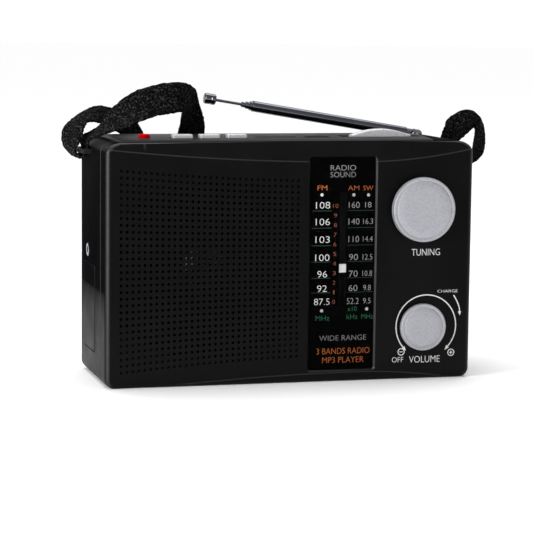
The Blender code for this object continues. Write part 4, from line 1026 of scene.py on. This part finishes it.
def build_swivel(pin_hole):
    """The turning base with its fork, and the pin through it."""
    floor, disc = corners("antenna_base")[0].z, TROUGH_FLOOR - 0.2
    profile = ((0.0, disc + 2.0), (5.6, disc + 2.0), (6.1, disc + 1.8), (6.3, disc + 1.4),
               (6.3, disc), (2.0, disc), (2.0, floor), (0.0, floor))
    base = spun(profile, (PIVOT.x, PIVOT.y, 0.0), UPWARD)
    cheeks = spun(((0.0, -3.5), (2.6, -3.5), (2.8, -3.3), (2.8, 3.3), (2.6, 3.5), (0.0, 3.5)), PIVOT,
                  BACKWARD, 48)
    fork = carve(base, [post(PIVOT, 2.5, 3.4, disc + 1.0, PIVOT.z - 0.6, 0.3), cheeks], "UNION")
    gap = post(PIVOT, 8.0, 1.8, disc + 2.2, PIVOT.z + 8.0)
    piece("antenna_swivel_base", carve(fork, [gap, pin_hole]), CHROME, "antenna_swivel",
          ["antenna_base"])
    pin = ((0.0, -3.5), (0.8, -3.3), (0.8, 3.3), (0.0, 3.5))
    piece("antenna_pivot_pin", spun(pin, PIVOT, BACKWARD, 24), STEEL, "antenna_swivel",
          ["antenna_pin"])


def build_elbow(pin_hole):
    elbow = tube([PIVOT + ANTENNA_AXIS * 1.0, PIVOT + ANTENNA_AXIS * 5.7], 2.5, 32)
    reach = Vector((9.0, 0.0, 9.0))
    flats = [block(PIVOT - reach + Vector((0.0, low, 0.0)), PIVOT + reach + Vector((0.0, high, 0.0)))
             for low, high in ((-9.0, -1.5), (1.5, 9.0))]
    eye = spun(((0.0, -1.5), (2.3, -1.5), (2.5, -1.3), (2.5, 1.3), (2.3, 1.5), (0.0, 1.5)), PIVOT,
               BACKWARD, 40)
    elbow = carve(carve(carve(elbow, flats), [eye], "UNION"), [pin_hole])
    piece("antenna_elbow_joint", elbow, CHROME, "antenna_arm", ["antenna_elbow"])


def build_sections():
    """Four tubes, each with its open mouth eased and a fine groove behind it, and the rod."""
    sections = ((3.0, 6.0, 96.5, "antenna_arm"), (2.5, 8.0, 98.0, "section_2"),
                (2.0, 9.5, 100.2, "section_3"), (1.5, 11.0, 102.6, "section_4"))
    for i, (radius, start, end, body) in enumerate(sections, 1):
        inner = radius - 0.25
        profile = [(inner, end), (radius - 0.12, end), (radius, end - 0.12), (radius, end - 0.55),
                   (radius - 0.08, end - 0.75), (radius, end - 0.95), (radius, start + 0.3),
                   (radius - 0.2, start)]
        if i == 1:
            profile += [(0.0, start), (0.0, start + 1.0), (inner, start + 1.0)]
        else:
            profile.append((inner, start))
        piece("antenna_section_%d" % i, spun(profile, PIVOT, ANTENNA_AXIS, 48, True), CHROME, body,
              ["antenna_tube_%d" % i])
    foot, rod_end, tip_end = 12.5, 117.5, 124.0
    profile = ((0.0, tip_end), (2.2, tip_end), (2.6, tip_end - 0.15), (2.9, tip_end - 0.5),
               (3.0, tip_end - 1.0), (3.0, rod_end + 3.4), (2.75, rod_end + 3.1),
               (2.75, rod_end + 2.7), (3.0, rod_end + 2.4), (3.0, rod_end + 0.6),
               (2.6, rod_end + 0.1), (1.0, rod_end), (0.8, rod_end - 0.4), (0.8, foot), (0.0, foot))
    piece("antenna_rod_and_tip", spun(profile, PIVOT, ANTENNA_AXIS, 48), CHROME, "section_5",
          ["antenna_rod"])


# ---------------------------------------------------------------- inner parts

def dress_inner_parts():
    """Better materials for the CAD nodes that are shown as they are."""
    for material, names in (
            (BOARD_BLACK, ["main_board"]), (BOARD_GREEN, ["player_board"]),
            (FERRITE, ["ferrite_rod", "speaker_magnet"]), (COPPER, ["aerial_coil"]),
            (WHITE_PLASTIC, ["tuning_capacitor", "dial_drum", "cord_guide_top", "cord_guide_bottom"]),
            (THREAD, ["dial_cord"]), (INNER, ["battery_tray", "speaker_frame"]),
            (STEEL, ["volume_control", "band_switch", "tuning_spindle", "volume_shaft",
                     "battery_spring", "usb_socket", "card_socket"])):
        for name in names:
            mesh = frame["nodes"][name].data
            mesh.materials.clear()
            mesh.materials.append(material)


def build_batteries():
    for name in ("battery_1", "battery_2"):
        low, high = corners(name)
        spot = centre(name)
        place, top, foot = (0.0, spot.y, spot.z), high.x, low.x
        wrap = ((11.0, foot), (15.4, foot), (16.2, foot + 0.4), (16.4, foot + 1.0),
                (16.4, top - 2.8), (16.2, top - 2.2), (15.4, top - 1.8), (9.0, top - 1.7))
        can = ((0.0, foot + 0.1), (10.9, foot + 0.1), (10.9, top - 1.75), (4.4, top - 1.65),
               (4.2, top - 0.4), (3.9, top - 0.1), (3.2, top), (0.0, top))
        piece(name + "_wrap", spun(wrap, place, RIGHTWARD, 64, True), CELL_WRAP, "case",
              [name])
        piece(name + "_can", spun(can, place, RIGHTWARD), STEEL, "case")


def build_speaker():
    """A paper cone with pleats at its rim, and the cap over its voice coil."""
    place = (SPEAKER.x, 0.0, SPEAKER.z)
    cone = [(18.4 + 22.2 * k / 24.0, 24.95 + 7.4 * k / 24.0 + (0.25 if k > 17 and k % 2 else 0.0))
            for k in range(25)]
    cone += [(40.6, 32.2), (18.0, 24.3), (17.0, 24.3)]
    piece("speaker_cone_paper", spun(cone, place, FORWARD, 96, True), PAPER, "case",
          ["speaker_cone"])
    dome = [(18.2 * s, 24.9 + 5.4 * c) for c, s in sweep(0.0, 90.0, 12)] + [(18.2, 24.6), (0.0, 24.6)]
    piece("speaker_dust_cap", spun(dome, place, FORWARD, 96), DUST_CAP, "case")


# ---------------------------------------------------------------- strap

# The webbing as pairs of points on its two edges, as the CAD has them
STRAP_FRONT_BACK = (
    ((-41, 43.2, 90.2), (-33, 43.2, 102.8)), ((-52, 43.2, 97.4), (-42, 43.2, 108.6)),
    ((-65, 42.8, 106.4), (-55, 42.8, 117.6)), ((-73, 39.6, 118), (-63, 42.4, 126.5)),
    ((-78, 32, 127.5), (-69, 39.5, 134.5)), ((-87.5, 24.5, 132.5), (-81.8, 36, 141.8)),
    ((-93.2, 17.5, 135.2), (-91.5, 30, 143.8)), ((-98, 12, 136.3), (-97.2, 26, 142.6)),
    ((-101.8, 7.5, 136.2), (-104.6, 21.5, 139)), ((-104, 5.5, 132.5), (-111.4, 20.4, 133.6)),
    ((-104.6, 5.6, 128.8), (-113.2, 20.2, 128.4)), ((-106.6, 6, 124.8), (-112, 21.8, 123.4)),
    ((-108.4, 6.7, 121.2), (-109.4, 23.6, 120.4)), ((-105, 7, 117.6), (-105, 24, 117.6)),
    ((-101.5, 7, 121), (-101.5, 24, 121)), ((-101.4, 4.5, 126.4), (-102.6, 21.2, 127.4)),
    ((-97.6, -1.5, 129.4), (-98.4, 15.2, 130.6)), ((-91.6, -6.6, 131.8), (-94.4, 9.2, 134.6)),
    ((-82.8, -8, 134.3), (-92.5, 5, 140)), ((-75.9, -7, 137.2), (-88, 4, 144.6)),
    ((-70, -5, 139), (-82, 4, 149.6)), ((-64.4, -2.5, 140.2), (-73.4, 3.5, 153.9)),
    ((-58.4, 0, 140.9), (-63, 3, 156.8)), ((-53.4, 2.5, 141.3), (-54.2, 3.5, 157.4)),
    ((-50, 7.5, 141), (-47.6, 6.5, 156.6)), ((-48.6, 16, 138.2), (-41.8, 13, 153.2)),
    ((-47.6, 24, 133.4), (-38, 21, 146.2)), ((-46.8, 31.5, 130.4), (-33.8, 28, 138)),
    ((-46, 38.2, 126.5), (-30.8, 36.8, 130.8)), ((-46.2, 41, 117), (-30.6, 41, 120)),
    ((-46.8, 41, 104), (-30.8, 41, 106)), ((-46.5, 41, 90.5), (-30.5, 41, 92.5)),
    ((-43, 41, 77.5), (-30, 46.5, 81.5)), ((-33.5, 40.5, 66.5), (-27, 52, 71)),
    ((-19, 39.5, 58.5), (-17, 55, 62)), ((0, 39.5, 54), (0, 56, 56)),
    ((22, 39.5, 53), (22, 56, 54)), ((45, 39.5, 57), (45, 56, 57.5)),
    ((67, 39.5, 68), (68, 54.5, 67)), ((84, 39.5, 86), (87, 52, 83)),
    ((94, 39.2, 101.5), (101, 46, 98)), ((100, 38.8, 111), (107.5, 42, 107.5)),
    ((103.6, 33, 120), (111.4, 32.5, 116.2)), ((102.4, 20.5, 130.2), (112.2, 18, 125.4)),
    ((102.4, 14, 136.6), (113.2, 10.5, 129)), ((105.2, 9, 140.4), (115.2, 7, 132.4)),
    ((110.6, 5, 142.8), (117.2, 9.5, 131.6)), ((114.2, 1.5, 141.2), (119, 13, 130.8)),
    ((117.6, 0.2, 136.6), (119.8, 15, 128.8)), ((119.7, 0.4, 128), (119.6, 16.2, 124.2)),
    ((119.8, 3.2, 118.8), (119, 19.6, 117)), ((115.2, 6, 113.6), (114.8, 23, 113.2)),
    ((109.6, 7, 113.8), (109.6, 24, 113.8)), ((105, 7, 116.8), (105, 24, 116.8)),
    ((101.5, 7, 121), (101.5, 24, 121)), ((101.5, 7, 125.6), (101.5, 24, 125.6))
)


WEFT_PITCH, WEFT_REPEAT = 0.42, 3.0                # along the webbing
CORDS, CORD_COLUMNS = 8.0, 38                      # across it
ROUGH_SEED = 7


def smooth(points, positions):
    """Points of the smooth curve through a list, at fractional indices."""
    last = len(points) - 1
    index = np.minimum(positions.astype(int), last - 1)
    t = (positions - index)[:, None]
    a, b, c, d = (points[np.clip(index + k, 0, last)] for k in (-1, 0, 1, 2))
    return 0.5 * (2.0 * b + (c - a) * t + (2.0 * a - 5.0 * b + 4.0 * c - d) * t ** 2
                  + (3.0 * b - a - 3.0 * c + d) * t ** 3)


def webbing_edges():
    """Both edges of the webbing at even steps along it, and how far along each step is."""
    stations = np.array(STRAP_FRONT_BACK, float)
    fine = np.linspace(0.0, len(stations) - 1.0, 4000)
    middle = (smooth(stations[:, 0], fine) + smooth(stations[:, 1], fine)) / 2.0
    steps = np.concatenate(([0.0], np.cumsum(np.linalg.norm(np.diff(middle, axis=0), axis=1))))
    run = np.linspace(0.0, steps[-1], int(steps[-1] / WEFT_PITCH) + 1)
    position = np.interp(run, steps, fine)
    return smooth(stations[:, 0], position), smooth(stations[:, 1], position), run


def webbing_rings():
    """Warp cords crossed by weft, in relief on both faces: points by step and place round."""
    near, far, run = webbing_edges()
    length = run[-1]
    across = far - near
    width = np.linalg.norm(across, axis=1)[:, None]
    across /= width
    normal = np.cross(np.gradient((near + far) / 2.0, axis=0), across)
    normal /= np.linalg.norm(normal, axis=1)[:, None]

    rng = np.random.default_rng(ROUGH_SEED)
    rough = rng.normal(0.0, 1.0, (len(run), 2 * CORD_COLUMNS + 2))
    for _ in range(2):
        rough = (rough + np.roll(rough, 1, 0) + np.roll(rough, 1, 1)) / 3.0
    knots = np.arange(0.0, length + 3.0, 1.6)
    drawn = rng.normal(0.0, 0.16, int((length + 3.0) / 1.6) + 1)
    edge_wander = np.interp(run, knots, drawn[:len(knots)])
    phase = TAU * run[:, None] / WEFT_REPEAT
    rows = []
    for face, first in ((1.0, 0), (-1.0, CORD_COLUMNS + 1)):
        u = np.linspace(0.0, 1.0, CORD_COLUMNS + 1)
        if face < 0.0:
            u = u[::-1]
        cord = np.cos(TAU * u[None, :] * CORDS)
        over = np.cos(phase + math.pi * np.floor(u[None, :] * CORDS * 2.0 + 0.5))
        edge = np.clip(np.minimum(u, 1.0 - u) * 17.0 / 1.1, 0.0, 1.0)[None, :]
        relief = 0.17 * over * (0.55 + 0.45 * np.abs(cord))
        relief += 0.22 * rough[:, first:first + CORD_COLUMNS + 1]
        depth = (STRAP_THICKNESS / 2.0 - 0.12 + relief) * np.sqrt(1.0 - (1.0 - edge) ** 2 * 0.85)
        for k, side in enumerate(u):
            wander = edge_wander * (2.0 * side - 1.0) ** 7
            place = near + across * (width * side + wander[:, None] * np.sign(side - 0.5))
            rows.append(place + normal * (face * depth[:, k])[:, None])
    return np.stack(rows, axis=1), length


def build_strap():
    """One length of webbing, closed at both ends."""
    points, length = webbing_rings()
    count, ring = points.shape[0] - 1, points.shape[1]
    i = np.arange(count)[:, None] * ring
    k = np.arange(ring)[None, :]
    after = (k + 1) % ring
    faces = np.stack((i + k, i + after, i + ring + after, i + ring + k), axis=-1).reshape(-1, 4)
    ends = [list(range(ring)), list(range(count * ring, count * ring + ring))[::-1]]
    mesh = bpy.data.meshes.new("webbing")
    mesh.from_pydata(points.reshape(-1, 3).tolist(), [], faces.tolist() + ends)
    bm = bmesh.new()
    bm.from_mesh(mesh)
    bmesh.ops.recalc_face_normals(bm, faces=bm.faces)
    strap = piece("carrying_strap", to_mesh(bm), WEBBING, "case",
                  ["strap_left_loop", "strap_foot", "strap_arc", "strap_drop", "strap_rear",
                   "strap_right_loop"], 180.0)


def build_strap_bars():
    bend = 1.6
    for node, side in (("strap_bar_left", -1.0), ("strap_bar_right", 1.0)):
        low, high = corners(node)
        wall = side * (HALF_WIDTH + 0.05)
        radius = (high.z - low.z) / 2.0
        out = side * (max(abs(low.x), abs(high.x)) - radius)
        near, far, z = low.y + radius, high.y - radius, (low.z + high.z) / 2.0
        points = [(wall, near, z)]
        for y, way, start, turn in ((near, 1.0, 0.0, 90.0), (far, -1.0, 90.0, -90.0)):
            points += [(out - side * bend + side * bend * s, y + way * (bend - bend * c), z)
                       for c, s in sweep(start, turn, 6)]
        points.append((wall, far, z))
        piece(node + "_wire", tube(points, radius, 20), INNER, "case", [node])


build_front_cabinet()
build_rear_cabinet()
build_side_fittings()
build_screws()
build_battery_door()
build_top_panel()
build_buttons()
build_band_knob()
build_deck_marks()
build_dial()
build_dial_print()
build_case_print()
build_knob("tuning", "tuning_spindle")
build_knob("volume", "volume_shaft")
PIN_HOLE = rod(1.1, -6.0, 6.0, PIVOT, BACKWARD)
build_swivel(PIN_HOLE)
build_elbow(PIN_HOLE)
build_sections()
dress_inner_parts()
build_batteries()
build_speaker()
build_strap_bars()
build_strap()


# ---------------------------------------------------------------- camera, floor and light

CAMERA_YAW, CAMERA_PITCH, CAMERA_ROLL = 15.077, 6.812, 0.607          # degrees
CAMERA_TARGET, CAMERA_DISTANCE = Vector((-4.63, 0.0, 58.11)), 1135.67
SENSOR_WIDTH, FOCAL_LENGTH = 36.0, 141.47156


def add_object(name, data):
    obj = bpy.data.objects.new(name, data)
    bpy.context.scene.collection.objects.link(obj)
    return obj


def build_camera():
    yaw, pitch, roll = (math.radians(angle) for angle in (CAMERA_YAW, CAMERA_PITCH, CAMERA_ROLL))
    forward = Vector((math.sin(yaw) * math.cos(pitch), math.cos(yaw) * math.cos(pitch),
                      -math.sin(pitch)))
    right = Vector((math.cos(yaw), -math.sin(yaw), 0.0))
    up = right.cross(forward)
    across = right * math.cos(roll) + up * math.sin(roll)
    upward = up * math.cos(roll) - right * math.sin(roll)
    data = bpy.data.cameras.new("camera")
    data.sensor_width, data.lens = SENSOR_WIDTH, FOCAL_LENGTH
    data.clip_start, data.clip_end = 0.05, 60.0
    camera = add_object("camera", data)
    place = CAMERA_TARGET - forward * CAMERA_DISTANCE
    axes = Matrix((across, upward, -forward)).transposed().to_4x4()
    camera.matrix_world = Matrix.Translation(place * MM) @ axes
    bpy.context.scene.camera = camera


def build_floor():
    bm = bmesh.new()
    bmesh.ops.create_circle(bm, cap_ends=True, segments=96, radius=14.0)
    mesh = to_mesh(bm)
    mesh.materials.append(new_material(
        "pale_floor", (0.95, 0.95, 0.95), 0.8, Specular_IOR_Level=0.05,
        Emission_Color=(1.0, 1.0, 1.0, 1.0), Emission_Strength=0.06))
    floor = add_object("floor", mesh)
    floor.location.z = FRONT_LOW.z * MM


def area_light(name, place, target, size, power):
    data = bpy.data.lights.new(name, "AREA")
    data.shape = "RECTANGLE"
    data.size, data.size_y = size
    data.energy = power
    direction = Vector(target) - Vector(place)
    turn = direction.to_track_quat("-Z", "Y").to_matrix().to_4x4()
    add_object(name, data).matrix_world = Matrix.Translation(place) @ turn


def build_light():
    world = bpy.data.worlds.new("studio")
    bpy.context.scene.world = world
    world.use_nodes = True
    background = world.node_tree.nodes["Background"]
    place = add_node(world, "TexCoord").outputs["Generated"]
    height = add_node(world, "SeparateXYZ", Vector=place).outputs["Z"]
    tone = ramp(world, height, grey_stops(((0.0, 1.15), (0.03, 1.15), (0.11, 0.5), (1.0, 0.3))))
    feed(world, background.inputs["Color"], tone)
    background.inputs["Strength"].default_value = 1.0
    area_light("key", (-0.9, -1.5, 1.3), (0.0, 0.0, 0.06), (0.9, 0.9), 5.0)
    area_light("strip", (-1.3, -0.55, 0.35), (-0.1, -0.03, 0.06), (0.4, 1.2), 20.0)
    area_light("top", (0.1, 0.5, 1.7), (0.0, 0.1, 0.0), (1.6, 1.2), 6.0)
    sun = bpy.data.lights.new("fill", "SUN")
    sun.energy = 2.0
    sun.angle = math.radians(60.0)
    add_object("fill", sun).rotation_euler = (math.radians(-18.0), 0.0, 0.0)
    bpy.context.scene.view_settings.view_transform = "Standard"


build_camera()
build_floor()
build_light()
